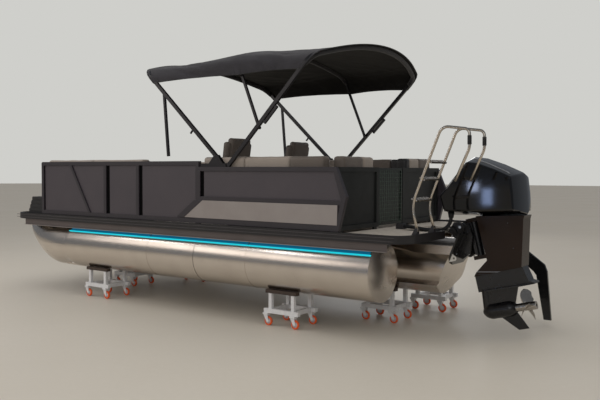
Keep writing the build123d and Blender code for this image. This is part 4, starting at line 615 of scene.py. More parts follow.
@dataclass
class Studio:
    """Camera, lamps, world and floor."""

    eye: Point = (6.0483, -7.4848, 1.7542)
    yaw: float = 0.6231
    pitch: float = -0.0405
    roll: float = 0.0042
    focal_mm: float = 43.003
    floor_radius: float = 90.0
    room_level: float = 0.80
    mirror_level: float = 0.28

    def camera(self) -> None:
        """Places the camera at the photograph's viewing point."""
        reach = math.cos(self.pitch)
        ahead = Vector((-math.sin(self.yaw) * reach, math.cos(self.yaw) * reach, math.sin(self.pitch)))
        level = Vector((math.cos(self.yaw), math.sin(self.yaw), 0))
        upward = level.cross(ahead)
        right = level * math.cos(self.roll) + upward * math.sin(self.roll)
        top = upward * math.cos(self.roll) - level * math.sin(self.roll)
        lens = bpy.data.cameras.new("camera")
        lens.sensor_width = 36.0
        lens.lens = self.focal_mm
        lens.clip_end = 200.0
        view = bpy.data.objects.new("camera", lens)
        view.matrix_world = Matrix.Translation(self.eye) @ Matrix((right, top, -ahead)).transposed().to_4x4()
        bpy.context.scene.collection.objects.link(view)
        bpy.context.scene.camera = view

    def lamp(
        self,
        name: str,
        place: Point,
        aim: Point,
        size: tuple[float, float],
        power: float,
        colour: str = "#ffffff",
    ) -> bpy.types.Object:
        """Adds one rectangular lamp.

        Args:
            name: Lamp's name.
            place: Its middle.
            aim: Point that it faces.
            size: Width and height in metres.
            power: Power in watts.
            colour: Light's colour.

        Returns:
            The lamp.
        """
        light = bpy.data.lights.new(name, "AREA")
        light.shape = "RECTANGLE"
        light.size, light.size_y = size
        light.energy = power
        light.color = linear(colour)[:3]
        holder = bpy.data.objects.new(name, light)
        holder.location = place
        holder.rotation_euler = (Vector(aim) - Vector(place)).to_track_quat("-Z", "Y").to_euler()
        bpy.context.scene.collection.objects.link(holder)
        return holder

    def lamps(self) -> None:
        """Adds the overhead, side and far lights, two high-bay lamps and two windows the hood mirrors."""
        overhead = self.lamp("overhead", (0.0, 0.0, 7.5), (0.0, 0.0, 0.0), (12.0, 8.0), 180.0)
        overhead.visible_glossy = False
        self.lamp("fore_light", (-5.8, -7.4, 4.6), (0.0, -1.0, 0.7), (6.5, 2.6), 92.0, "#fff4ea")
        self.lamp("side_light", (5.5, -11.5, 5.0), (1.0, 0.0, 1.0), (6.0, 3.0), 120.0)
        hood = (3.2, 0.0, 1.6)
        self.lamp("window_fore", (-1.15, -10.8, 1.36), hood, (0.26, 0.24), 2.4, "#c3d2f6")
        self.lamp("window_aft", (-0.77, -10.8, 1.11), hood, (0.24, 0.42), 3.0, "#a9c0f0")
        self.lamp("far_light", (-4.0, 11.0, 4.0), (0.0, 0.0, 1.0), (5.0, 2.0), 70.0)
        self.lamp("bay_lamp_fore", (-7.6, -4.5, 5.9), (-1.0, -1.2, 0.9), (0.9, 0.5), 34.0)
        self.lamp("bay_lamp_aft", (-3.9, -5.8, 6.4), (1.4, -1.2, 0.9), (0.7, 0.4), 22.0)

    def world(self) -> None:
        """Fills the room with even light, dimmer for mirrors, and shows the camera a pale background."""
        world = bpy.data.worlds.new("room")
        bpy.context.scene.world = world
        world.use_nodes = True
        tree = world.node_tree
        tree.nodes.clear()
        rays = add_node(tree, "ShaderNodeLightPath").outputs
        seen = {0: rays["Is Camera Ray"], 1: rays["Is Transmission Ray"]}
        direct = add_node(tree, "ShaderNodeMath", {}, seen, operation="MAXIMUM")
        levels = (("#dcdad6", self.room_level), ("#ccd2da", self.mirror_level), ("#cfcfcb", 1.0))
        room, mirrored, shown = (
            add_node(tree, "ShaderNodeBackground", {"Color": linear(colour), "Strength": level}).outputs[0]
            for colour, level in levels
        )
        bounced = add_node(tree, "ShaderNodeMixShader", {}, {0: rays["Is Glossy Ray"], 1: room, 2: mirrored})
        ends = {0: direct.outputs[0], 1: bounced.outputs[0], 2: shown}
        mix = add_node(tree, "ShaderNodeMixShader", {}, ends)
        add_node(tree, "ShaderNodeOutputWorld", {}, {"Surface": mix.outputs[0]})

    def floor(self) -> None:
        """Lays the plain pale floor."""
        made = bmesh.new()
        bmesh.ops.create_circle(made, cap_ends=True, segments=96, radius=self.floor_radius)
        mesh = bpy.data.meshes.new("floor")
        made.to_mesh(mesh)
        made.free()
        floor = bpy.data.objects.new("floor", mesh)
        bpy.context.scene.collection.objects.link(floor)
        mesh.materials.append(SEALED.material())

    def build(self) -> None:
        """Makes the whole studio."""
        self.camera()
        self.world()
        self.lamps()
        self.floor()
        bpy.context.scene.view_settings.view_transform = "Standard"


@dataclass
class Hull:
    """Finishes of the CAD pieces that keep their shape, and the strips' light on the tubes, painted as a
    glowing skin.
    """

    tube_axis_y: float = 0.949
    tube_axis_z: float = 0.7021
    tube_radius: float = 0.3175
    seam_x: float = -0.006
    glow_low: float = 0.905
    glow_high: float = 0.985
    glow_front: float = -2.44
    glow_rear: float = 2.40
    glow_lift: float = 0.0015
    skin_wall: float = 0.001
    seam_lift: float = 0.0012
    seam_width: float = 0.005

    def dress_nodes(self) -> None:
        """Gives every CAD piece that stays its finish."""
        for finish, nodes in CAD_FINISHES.items():
            for node in nodes:
                for slot in bpy.data.objects[node].material_slots:
                    slot.material = finish.material()
                LOG.info("%s: %s", node, finish.name)

    def glow_band(self, side: int, word: str) -> None:
        """Makes the glowing skin on a tube's shoulder between its light strip and the skirt: painted light
        for the strip's glow on the tube.

        Args:
            side: -1 to port, 1 to starboard.
            word: Side's name.
        """
        made = bmesh.new()
        radius = self.tube_radius + self.glow_lift
        start = math.asin((self.glow_low - self.tube_axis_z) / radius)
        end = math.asin((self.glow_high - self.tube_axis_z) / radius)
        y = side * (self.tube_axis_y + radius * math.cos(start))
        z = self.tube_axis_z + radius * math.sin(start)
        first, last = made.verts.new((self.glow_front, y, z)), made.verts.new((self.glow_rear, y, z))
        edge = made.edges.new((first, last))
        axis_point = (0, side * self.tube_axis_y, self.tube_axis_z)
        arc = side * (end - start)
        bmesh.ops.spin(made, geom=[first, last, edge], cent=axis_point, axis=(1, 0, 0), angle=arc, steps=6)
        for face in made.faces:
            face.normal_update()
            if face.normal.y * side < 0:
                face.normal_flip()
        # Painted light: this skin glows in place of the strips' light falling on the tube
        piece = finish_object(made, f"glow_{word}", STRIP_GLOW_PAINT, "hull")
        piece.modifiers.new("painted_glow_skin", "SOLIDIFY").thickness = self.skin_wall

    def seam_ring(self, side: int, word: str) -> None:
        """Makes the dark welded seam round a tube.

        Args:
            side: -1 to port, 1 to starboard.
            word: Side's name.
        """
        made = bmesh.new()
        radius = self.tube_radius + self.seam_lift
        place = Matrix.Translation((self.seam_x, side * self.tube_axis_y, self.tube_axis_z))
        turned = place @ Matrix.Rotation(math.pi / 2, 4, "Y")
        bmesh.ops.create_cone(
            made,
            cap_ends=False,
            segments=96,
            radius1=radius,
            radius2=radius,
            depth=self.seam_width,
            matrix=turned,
        )
        piece = finish_object(made, f"seam_{word}", SEAM, "hull")
        piece.modifiers.new("wall", "SOLIDIFY").thickness = self.skin_wall

    def build(self) -> None:
        """Dresses the hull."""
        self.dress_nodes()
        for side, word in SIDES:
            self.glow_band(side, word)
            self.seam_ring(side, word)
        smooth_copy("propeller", PROPELLER, "propeller", "propeller_cast")


@dataclass
class Ladder:
    """Boarding ladder folded up over the platform: bent stiles, ribbed treads and hinge bosses."""

    way: tuple[tuple[float, float], ...] = (
        (2.8202, 1.1666), (2.7602, 1.4206), (3.0752, 2.1986),
        (3.3602, 2.1626), (3.3622, 1.9806), (3.2202, 1.6606),
    )
    bends: tuple[float, ...] = (0.350, 0.095, 0.055, 0.160)
    stiles: tuple[float, float] = (-0.980, -0.600)
    radius: float = 0.014
    boss: float = 0.019
    boss_wide: float = 0.031
    deck_top: float = 1.10064
    rises: tuple[float, ...] = (0.368, 0.580, 0.752)
    tread: tuple[float, float] = (0.062, 0.020)
    rib_lift: float = 0.004
    ribs: int = 5

    def centre_line(self, y: float) -> list[Point]:
        """Middle line of one stile with its bends rounded.

        Args:
            y: Stile's place athwart.

        Returns:
            Points from the hinge to the handle's end.
        """
        steps = 14
        corners = [Vector((x, y, z)) for x, z in self.way]
        line = [tuple(corners[0])]
        for before, corner, after, bend in zip(corners, corners[1:], corners[2:], self.bends):
            come, leave = (corner - before).normalized(), (after - corner).normalized()
            turn = come.angle(leave)
            start = corner - come * bend * math.tan(turn / 2)
            centre = corner + (leave - come).normalized() * bend / math.cos(turn / 2)
            arm = start - centre
            angles = [turn * i / steps for i in range(steps + 1)]
            side = come * bend
            line += [tuple(centre + arm * math.cos(angle) + side * math.sin(angle)) for angle in angles]
        return [*line, tuple(corners[-1])]

    def treads(self) -> bpy.types.Object:
        """Makes the flat treads with their ribs.

        Returns:
            All treads as one piece.
        """
        made = bmesh.new()
        (low_x, low_z), (high_x, high_z) = self.way[1:3]
        tilt = math.atan2(high_x - low_x, high_z - low_z)
        middle = sum(self.stiles) / 2
        span = self.stiles[1] - self.stiles[0] - self.radius
        step = self.tread[0] / self.ribs
        blocks = [(0.0, self.tread[0], self.tread[1] - self.rib_lift)]
        offsets = [(number - (self.ribs - 1) / 2) * step for number in range(self.ribs)]
        blocks += [(offset, step / 2, self.tread[1]) for offset in offsets]
        for rise in self.rises:
            height = self.deck_top + rise
            place = Vector((low_x + (height - low_z) * math.tan(tilt), middle, height))
            for across, wide, tall in blocks:
                verts = bmesh.ops.create_cube(made, size=1.0)["verts"]
                bmesh.ops.scale(made, vec=(wide, span, tall), verts=verts)
                bmesh.ops.translate(made, vec=(across, 0, 0), verts=verts)
                bmesh.ops.rotate(made, cent=(0, 0, 0), matrix=Matrix.Rotation(tilt, 3, "Y"), verts=verts)
                bmesh.ops.translate(made, vec=place, verts=verts)
        piece = finish_object(made, "ladder_treads", STEEL, "ladder")
        add_bevel(piece, 0.0018, 2)
        return piece

    def build(self) -> None:
        """Makes the ladder."""
        pieces = [self.treads()]
        for word, y in zip(("port", "starboard"), self.stiles):
            line = self.centre_line(y)
            pieces.append(tube_piece(f"ladder_{word}_stile", line, self.radius, STEEL, "ladder", 8))
            boss = bmesh.new()
            hinge_x, hinge_z = self.way[0]
            turned = Matrix.Translation((hinge_x, y, hinge_z)) @ Matrix.Rotation(math.pi / 2, 4, "X")
            size = {"radius1": self.boss, "radius2": self.boss, "depth": self.boss_wide}
            bmesh.ops.create_cone(boss, cap_ends=True, segments=40, matrix=turned, **size)
            pieces.append(finish_object(boss, f"ladder_{word}_boss", STEEL, "ladder"))
            add_bevel(pieces[-1], 0.002, 2)
        for piece in pieces:
            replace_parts(piece, "ladder")


@dataclass
class Fences:
    """Painted shadows beside the posts, the silver panel's raked bar, rail beads, the skirt's foot and gate
    wires.
    """

    panel_face: float = 1.2322
    shadow_strips: tuple[tuple[float, float, float, float], ...] = (
        (-1.610, -1.555, 1.180, 1.815), (-0.972, -0.920, 1.180, 1.815), (0.101, 0.150, 1.449, 1.746),
        (-2.981, -2.968, 1.180, 1.815),
    )
    bar_low: tuple[float, float] = (-0.215, 1.191)
    bar_high: tuple[float, float] = (0.083, 1.401)
    bar_reach: tuple[float, float] = (-0.075, 0.058)
    gate_x: float = 2.0265
    gate_low: tuple[float, float] = (-0.335, 1.165)
    gate_high: tuple[float, float] = (0.208, 1.770)
    wire: float = 0.0028
    wire_pitch: float = 0.045
    bead_ends: tuple[float, float] = (-3.60, 2.72)
    bead_heights: tuple[float, float] = (1.060, 1.096)
    bead_sides: tuple[float, float] = (1.280, 1.2872)
    foot_ends: tuple[float, float] = (-3.43, 2.63)
    foot_z: float = 0.9505
    foot_sides: tuple[float, float] = (1.262, 1.2775)
    strip: float = 0.006

    def strip_piece(
        self,
        name: str,
        side: int,
        ends: tuple[float, float],
        low: float,
        sides: tuple[float, float],
        finish: Finish,
    ) -> None:
        """Makes a thin level strip along the boat.

        Args:
            name: Piece's name.
            side: -1 to port, 1 to starboard.
            ends: X of its front and rear end.
            low: Height of its underside.
            sides: Distances of its faces from the middle.
            finish: Piece's finish.
        """
        (front, rear), high = ends, low + self.strip
        outline = [(front, low), (rear, low), (rear, high), (front, high)]
        slab(name, outline, side * sides[0], side * sides[1], finish, "hull")

    def sides(self) -> None:
        """Makes the flat pieces on both sides."""
        for side, word in SIDES:
            face = side * self.panel_face
            # Painted shade: near-black sheets on the panel face beside the posts, where the posts' shadow
            # falls
            for number, (front, rear, low, high) in enumerate(self.shadow_strips):
                outline = [(front, low), (rear, low), (rear, high), (front, high)]
                inner, outer = face - side * 0.0008, face + side * 0.0010
                slab(f"{word}_recess_{number}", outline, inner, outer, SHADE_AND_SEAM_BLACK, "hull")
            (low_x, low_z), (high_x, high_z) = self.bar_low, self.bar_high
            fore, aft = self.bar_reach
            outline = [(low_x + fore, low_z), (low_x + aft, low_z)]
            outline += [(high_x + aft, high_z), (high_x + fore, high_z)]
            slab(word + "_raked_bar", outline, side * 1.230, side * 1.2575, RAILING, "hull")
            for number, height in enumerate(self.bead_heights):
                name = f"{word}_rail_bead_{number}"
                self.strip_piece(name, side, self.bead_ends, height, self.bead_sides, BEAD)
            self.strip_piece(word + "_skirt_foot", side, self.foot_ends, self.foot_z, self.foot_sides, ACCENT)

    def gate(self) -> None:
        """Makes the welded wires on the stern gate."""
        made = bmesh.new()
        (low_y, low_z), (high_y, high_z) = self.gate_low, self.gate_high
        wide, tall, pitch = high_y - low_y, high_z - low_z, self.wire_pitch
        middle_y, middle_z = (low_y + high_y) / 2, (low_z + high_z) / 2
        columns = [low_y + (number + 0.5) * pitch for number in range(int(wide / pitch))]
        rows = [low_z + (number + 0.5) * pitch for number in range(int(tall / pitch))]
        bars = [(y, middle_z, self.wire, tall) for y in columns]
        bars += [(middle_y, z, wide, self.wire) for z in rows]
        for y, z, bar_wide, bar_tall in bars:
            bar = bmesh.ops.create_cube(made, size=1.0)["verts"]
            bmesh.ops.scale(made, vec=(self.wire, bar_wide, bar_tall), verts=bar)
            bmesh.ops.translate(made, vec=(self.gate_x, y, z), verts=bar)
        finish_object(made, "gate_wires", WIRE, "stern_gate", smooth=False)

    def build(self) -> None:
        """Makes the fences' pieces."""
        self.sides()
        self.gate()


@dataclass
class Cushion:
    """One padded block: a rounded box that swells between its seams."""

    name: str
    low: Point
    high: Point
    finish: Finish
    body: str = "hull"
    corner: float = 0.035
    swell: float = 0.014
    lean: float = 0.0
    lean_at: Point = (0.0, 0.0, 0.0)
    strip: float = 0.07
    fold_rate: float = 9.0
    fold_depth: float = 0.003

    def swell_faces(self, made: bmesh.types.BMesh, size: Vector, middle: Vector) -> None:
        """Moves the block's skin out between its seams and lays faint folds on it.

        Args:
            made: Block about its own middle, cut into strips.
            size: Block's size.
            middle: Block's middle in the row frame, from which the folds differ.
        """
        for vert in made.verts:
            share = [abs(2 * vert.co[i] / size[i]) for i in range(3)]
            for i in range(3):
                j, k = (i + 1) % 3, (i + 2) % 3
                bulge = (1 - share[j] ** 2) * (1 - share[k] ** 2)
                sink = 1 - 0.55 * (1 - bulge)
                if share[i] > 0.8:
                    vert.co[i] += math.copysign(self.swell * (bulge - 0.75) * sink, vert.co[i])
            fold = noise.noise(vert.co * self.fold_rate + middle * 3)
            vert.co += vert.co.normalized() * fold * self.fold_depth

    def build(self) -> bpy.types.Object:
        """Makes the block.

        Returns:
            The padded piece.
        """
        size = Vector(self.high) - Vector(self.low)
        middle = (Vector(self.high) + Vector(self.low)) / 2
        made = bmesh.new()
        bmesh.ops.create_cube(made, size=1.0)
        bmesh.ops.scale(made, vec=size, verts=made.verts)
        width = min(self.corner, min(size) * 0.42)
        edges = list(made.edges)
        bmesh.ops.bevel(
            made, geom=edges, offset=width, affect="EDGES", segments=4, profile=0.5, material=-1
        )
        for axis in range(3):
            cuts = max(3, min(14, round(size[axis] / self.strip)))
            for step in range(1, cuts):
                place = Vector()
                place[axis] = size[axis] * (step / cuts - 0.5)
                normal = Vector()
                normal[axis] = 1
                whole = [*made.verts, *made.edges, *made.faces]
                bmesh.ops.bisect_plane(made, geom=whole, plane_co=place, plane_no=normal)
        bmesh.ops.remove_doubles(made, verts=made.verts, dist=1e-5)
        self.swell_faces(made, size, middle)
        bmesh.ops.translate(made, vec=middle, verts=made.verts)
        if self.lean:
            turn = Matrix.Rotation(self.lean, 3, "Y")
            bmesh.ops.rotate(made, cent=self.lean_at, matrix=turn, verts=made.verts)
        piece = finish_object(made, self.name, self.finish, self.body)
        return piece


@dataclass
class Seating:
    """Bench cushions in their colour blocks and two captain's chairs; sizes in metres."""

    seat_heights: tuple[float, float] = (1.4412, 1.556)
    back_low: float = 1.562
    back_high_aft: float = 1.911
    back_high_fore: float = 1.889
    seat_sides: tuple[float, float] = (0.613, 1.197)
    back_sides: tuple[float, float] = (1.052, 1.185)
    joint: float = 0.003
    bow_front: float = -2.948
    bow_rears: tuple[float, float] = (-0.962, -1.192)
    aft_seat_cuts: tuple[float, ...] = (0.492, 1.16, 1.828)
    port_back_cuts: tuple[float, ...] = (0.102, 0.735, 1.377, 1.828)
    starboard_back_cuts: tuple[float, ...] = (0.102, 0.58, 1.40, 1.60, 1.828)
    stern_low: float = 1.1022
    stern_faces: tuple[float, float] = (1.857, 1.988)
    chair_x: float = -0.0798
    chair_y: float = 0.640
    chair_low: float = 1.5006
    chair_pad: float = 0.130
    chair_width: float = 0.500
    chair_depth: float = 0.480
    back_width: float = 0.460
    back_wall: float = 0.110
    back_lean: float = 8.0
    chair_top: float = 2.155

    def row(
        self,
        name: str,
        side: int,
        heights: tuple[float, float],
        sides: tuple[float, float],
        cuts: tuple[float, ...],
        finishes: tuple[Finish, ...],
    ) -> None:
        """Makes one row of blocks along the boat, which stand for the CAD node of the seats or backs.

        Args:
            name: Stem of the pieces' names.
            side: -1 to port, 1 to starboard.
            heights: Underside and top.
            sides: Distances of the inner and outer face from the middle.
            cuts: X of the row's front, of each joint and of its rear.
            finishes: Finish of each block.
        """
        low_y, high_y = sorted(side * distance for distance in sides)
        gap = self.joint / 2
        for number, (front, rear, finish) in enumerate(zip(cuts, cuts[1:], finishes)):
            low, high = (front + gap, low_y, heights[0]), (rear - gap, high_y, heights[1])
            piece = Cushion(f"{name}_{number}", low, high, finish).build()
            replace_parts(piece, "back_cushions" if "back" in name else "seat_cushions")

    def benches(self) -> None:
        """Makes all bench seats and backs."""
        pale, dark, black = VINYL_PALE, VINYL_DARK, VINYL_BLACK
        fore_heights = (self.back_low, self.back_high_fore)
        aft_heights = (self.back_low, self.back_high_aft)
        aft_backs = (
            (self.port_back_cuts, (pale, pale, dark)),
            (self.starboard_back_cuts, (pale, dark, black, pale)),
        )
        for (side, word), bow_rear, (back_cuts, finishes) in zip(SIDES, self.bow_rears, aft_backs):
            bow_cuts = (self.bow_front, (self.bow_front + bow_rear) / 2, bow_rear)
            plain, seat_cuts = (pale, pale), self.aft_seat_cuts
            self.row(f"{word}_bow_seat", side, self.seat_heights, self.seat_sides, bow_cuts, plain)
            self.row(f"{word}_aft_seat", side, self.seat_heights, self.seat_sides, seat_cuts, plain)
            self.row(f"{word}_bow_back", side, fore_heights, self.back_sides, bow_cuts, plain)
            self.row(f"{word}_aft_back", side, aft_heights, self.back_sides, back_cuts, finishes)
        stern = (
            (-1.047, -0.64, dark),
            (-0.64, -0.41, pale),
            (0.37, 0.48, black),
            (0.48, 0.73, pale),
            (0.73, 1.047, dark),
        )
        for number, (low_y, high_y, finish) in enumerate(stern):
            low = (self.stern_faces[0], low_y + self.joint / 2, self.stern_low)
            high = (self.stern_faces[1], high_y - self.joint / 2, self.back_high_aft)
            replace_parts(Cushion(f"stern_back_{number}", low, high, finish).build(), "back_cushions")

    def chair(self, body: str, side: int) -> None:
        """Makes a captain's chair: seat, leaning back with its bolster and two arms.

        Args:
            body: Chair's body and CAD node.
            side: -1 to port, 1 to starboard.
        """
        x, y, low = self.chair_x, side * self.chair_y, self.chair_low
        half_depth, half_width = self.chair_depth / 2, self.chair_width / 2
        seat_low = (x - half_depth + 0.004, y - half_width + 0.004, low + 0.004)
        seat_high = (x + half_depth - 0.06, y + half_width - 0.004, low + self.chair_pad)
        pieces = [Cushion(body + "_seat", seat_low, seat_high, VINYL_DARK, body, corner=0.045).build()]
        hinge = Vector((x + (self.chair_depth - self.back_wall) / 2, y, low + self.chair_pad / 2))
        lean = math.radians(self.back_lean)
        tall = (self.chair_top - hinge.z) / math.cos(lean)
        wall, wide = self.back_wall / 2, self.back_width / 2
        parts = (
            ("_back", (-wall * 0.55, -wide + 0.05, 0.06), (wall, wide - 0.05, tall), 0.05, VINYL_DARK),
            ("_bolster_a", (-wall, -wide, 0.05), (wall * 0.7, -wide + 0.085, tall - 0.05), 0.04, VINYL_DARK),
            ("_bolster_b", (-wall, wide - 0.085, 0.05), (wall * 0.7, wide, tall - 0.05), 0.04, VINYL_DARK),
            (
                "_insert",
                (-wall - 0.004, -wide + 0.09, 0.09),
                (-wall * 0.4, wide - 0.09, tall - 0.10),
                0.02,
                VINYL_PALE,
            ),
        )
        for tail, near, far, corner, finish in parts:
            low_at, high_at = tuple(hinge + Vector(near)), tuple(hinge + Vector(far))
            name = body + tail
            pad = Cushion(name, low_at, high_at, finish, body, corner, 0.012, lean, tuple(hinge))
            pieces.append(pad.build())
        for word, arm_side in (("a", -1), ("b", 1)):
            arm_y = y + arm_side * (half_width - 0.0275)
            blocks = (
                ("arm", (-0.165, -0.027, 0.247), (0.172, 0.027, 0.308), 0.024, 0.006),
                ("post", (-0.162, -0.018, 0.05), (-0.106, 0.018, 0.26), 0.014, 0.004),
            )
            for kind, near, far, corner, swell in blocks:
                base = Vector((x, arm_y, low))
                ends = tuple(base + Vector(near)), tuple(base + Vector(far))
                pad = Cushion(f"{body}_{kind}_{word}", *ends, VINYL_DARK, body, corner, swell)
                pieces.append(pad.build())
        plate = bmesh.new()
        bmesh.ops.create_cone(plate, cap_ends=True, segments=48, radius1=0.110, radius2=0.104, depth=0.0155)
        bmesh.ops.translate(plate, vec=(x, y, low - 0.0035), verts=plate.verts)
        pieces.append(finish_object(plate, body + "_plate", CASTING, body, smooth=False))
        for piece in pieces:
            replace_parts(piece, body)

    def build(self) -> None:
        """Makes the seating."""
        self.benches()
        self.chair("port_chair", -1)
        self.chair("starboard_chair", 1)


@dataclass
class Bow:
    """Leaning plane of one canopy bow: its foot, lean from upright and crown."""

    foot_x: float
    foot_z: float
    lean: float
    crown: float
    half_width: float
    shift: float = 0.0

    def at_height(self, z: float) -> float:
        """Finds the bow's plane at a height, moved by the shift along its normal.

        Args:
            z: Height.

        Returns:
            The plane's place along the boat.
        """
        turn = math.radians(self.lean)
        foot_x = self.foot_x + self.shift * math.cos(turn)
        foot_z = self.foot_z - self.shift * math.sin(turn)
        return foot_x + (z - foot_z) * math.tan(turn)


@dataclass
class Canopy:
    """Sewn canvas over three bows, with its pockets and hems."""

    front: Bow = field(default_factory=lambda: Bow(0.3352, 1.9156, -47.6, 3.180, 1.210))
    middle: Bow = field(default_factory=lambda: Bow(0.9364, 2.2400, -22.6, 3.238, 1.165))
    rear: Bow = field(default_factory=lambda: Bow(0.5252, 1.8229, 44.6, 3.180, 1.210))
    slope: float = 15.3
    crown_radius: float = 3.66
    corner: float = 0.163
    half_width: float = 1.2325
    hem: float = 2.842
    over_end: float = 0.0325
    over_middle: float = 0.026
    hang: float = 0.020
    sag_fore: float = 0.044
    sag_aft: float = 0.022
    wall: float = 0.003
    kink: float = 0.44        # cloth's share that lies before the middle bow
    hem_draw: float = 0.016   # hems pulled in and up between the bows
    hem_lift: float = 0.018
    pull_depth: float = 0.016
    fold_depth: float = 0.009
    ridge_depth: float = 0.013
    most_out: float = 0.006
    blend_height: float = 3.18
    along: int = 96
    across: int = 150

    def outline(self, share: float, crown: float, half_width: float, low: float) -> tuple[float, float]:
        """Point on half of the roof's outline seen from behind.

        Args:
            share: 0 at the crown to 1 at the hem, by length.
            crown: Crown's height.
            half_width: Half the width over the sides.
            low: Hem's height.

        Returns:
            Distance from the middle and height.
        """
        tilt = math.radians(self.slope)
        turn = math.pi / 2 - tilt
        peak = crown + self.crown_radius * (1 / math.cos(tilt) - 1)
        cut = self.corner * math.tan(turn / 2)
        arc_end = self.crown_radius * math.sin(tilt)
        eave_y, eave_z = half_width, peak - half_width * math.tan(tilt)
        slope_end = eave_y - cut * math.cos(tilt)
        lengths = (
            self.crown_radius * tilt,
            (slope_end - arc_end) / math.cos(tilt),
            self.corner * turn,
            eave_z - cut - low,
        )
        run = share * sum(lengths)
        if run <= lengths[0]:
            angle = run / self.crown_radius
            return self.crown_radius * math.sin(angle), crown - self.crown_radius * (1 - math.cos(angle))
        run -= lengths[0]
        if run <= lengths[1]:
            y = arc_end + run * math.cos(tilt)
            return y, peak - y * math.tan(tilt)
        run -= lengths[1]
        if run <= lengths[2]:
            angle = tilt + run / self.corner
            centre_y = eave_y - self.corner
            centre_z = eave_z - cut
            return centre_y + self.corner * math.sin(angle), centre_z + self.corner * math.cos(angle)
        return half_width, eave_z - cut - (run - lengths[2])

    def point(self, u: float, v: float) -> Vector:
        """Point of the cloth.

        Args:
            u: 0 at the front edge to 1 at the rear edge.
            v: -1 at the port hem to 1 at the starboard hem.

        Returns:
            Place in the row frame.
        """
        fore = u <= self.kink
        ends = (self.front, self.middle) if fore else (self.middle, self.rear)
        share = u / self.kink if fore else (u - self.kink) / (1 - self.kink)
        places = []
        for bow in ends:
            over = self.over_middle if bow is self.middle else self.over_end
            y, z = self.outline(abs(v), bow.crown + over, self.half_width, self.hem)
            shift = {id(self.front): -self.hang, id(self.rear): self.hang}.get(id(bow), 0.0)
            plane = Bow(bow.foot_x, bow.foot_z, bow.lean, bow.crown, bow.half_width, shift)
            places.append(Vector((plane.at_height(z), math.copysign(y, v), z)))
        place = places[0].lerp(places[1], share)
        droop = 4 * share * (1 - share)
        top = max(0.0, 1 - abs(v) ** 3)
        sag = self.sag_fore if fore else self.sag_aft
        place.z -= sag * droop * top
        place.y -= math.copysign(self.hem_draw * droop * abs(v) ** 4, v)
        place.z += self.hem_lift * droop * abs(v) ** 8
        near_eave = math.exp(-(((abs(v) - 0.80) / 0.16) ** 2))
        pulls = noise.noise(Vector((u * 5.0 + v * 2.0, v * 16.0 + u * 3.0, 3.7)))
        folds = noise.noise(Vector((place.x * 1.6, place.y * 2.2, 9.1)))
        wave = self.pull_depth * pulls * near_eave * (0.35 + droop) + self.fold_depth * folds * droop
        ridge = (1 - abs(noise.noise(Vector((u * 11.0 - abs(v) * 8.0, v * 2.5 + u, 1.3))))) ** 8
        wave -= self.ridge_depth * ridge * droop * min(1.0, abs(v) * 1.4)
        outward = Vector((0, math.copysign(abs(v) ** 3, v), 1 - abs(v) ** 3)).normalized()
        return place + outward * min(wave, self.most_out)

    def bend(self, piece: bpy.types.Object) -> None:
        """Bakes a piece's placement into its mesh; the bows' places at the blend height are found but not
        used, and nothing bends.

        Args:
            piece: Cloth, tape or seam.
        """
        rear_x = self.rear.at_height(self.blend_height)
        front_x = self.front.at_height(self.blend_height)
        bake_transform(piece)

    def cloth(self) -> None:
        """Makes the continuous cloth with its coated back, darkened as painted shade."""
        made = bmesh.new()
        bmesh.ops.create_grid(made, x_segments=self.along, y_segments=self.across, size=1.0)
        for vert in made.verts:
            vert.co = self.point((vert.co.x + 1) / 2, vert.co.y)
        for face in made.faces:
            face.normal_update()
        if sum(face.normal.z for face in made.faces) < 0:
            bmesh.ops.reverse_faces(made, faces=made.faces)
        area = sum(face.calc_area() for face in made.faces)
        cloth = finish_object(made, "canopy_cloth", CANVAS, None)
        # Painted shade: the cloth's underside takes the darker finish
        cloth.data.materials.append(SHADED_COATING.material())
        solid = cloth.modifiers.new("cloth_wall", "SOLIDIFY")
        solid.thickness = self.wall
        solid.material_offset = 1
        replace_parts(cloth, "bimini_canopy")
        self.bend(cloth)

    def pocket(self, name: str, bow: Bow, body: str, radius: float, reach: float) -> None:
        """Makes the sewn pocket that wraps a bow.

        Args:
            name: Piece's name.
            bow: Bow that it wraps.
            body: Body of that bow.
            radius: Pocket's half thickness.
            reach: Share of the half outline that it covers.
        """
        points = []
        for step in range(-40, 41):
            share = reach * step / 40
            y, z = self.outline(abs(share), bow.crown, bow.half_width, self.hem)
            points.append((bow.at_height(z), math.copysign(y, share), z))
        tube_piece(name, points, radius, BINDING, body)

    def tape(self, name: str, places: list[tuple[float, float]], shift: Vector, radius: float) -> None:
        """Makes a binding tape or a felled seam that lies on the cloth.

        Args:
            name: Piece's name.
            places: Cloth coordinates of its points.
            shift: Offset from the cloth's outer face.
            radius: Half its thickness.
        """
        points = [tuple(self.point(u, v) + shift) for u, v in places]
        piece = tube_piece(name, points, radius, BINDING, None, 2)
        self.bend(piece)

    def build(self) -> None:
        """Makes the canopy."""
        self.cloth()
        self.pocket("front_pocket", self.front, "bimini_front_bow", 0.0285, 0.95)
        self.pocket("middle_pocket", self.middle, "bimini_middle_bow", 0.0235, 0.88)
        self.pocket("rear_pocket", self.rear, "hull", 0.0285, 0.95)
        steps = [step / 48 for step in range(49)]
        for word, v in (("port", -1.0), ("starboard", 1.0)):
            self.tape(word + "_hem", [(u, v) for u in steps], Vector((0, -0.0015 * v, 0.006)), 0.0055)
        lines = (
            ("fore_edge", 0.0),
            ("middle_seam_a", 0.425),
            ("middle_seam_b", 0.462),
            ("aft_seam", 0.965),
            ("fore_seam", 0.035),
            ("aft_edge", 1.0),
        )
        for word, u in lines:
            radius = 0.005 if "edge" in word else 0.0022
            self.tape(word, [(u, 2 * v - 1) for v in steps], Vector((0, 0, -0.0005)), radius)


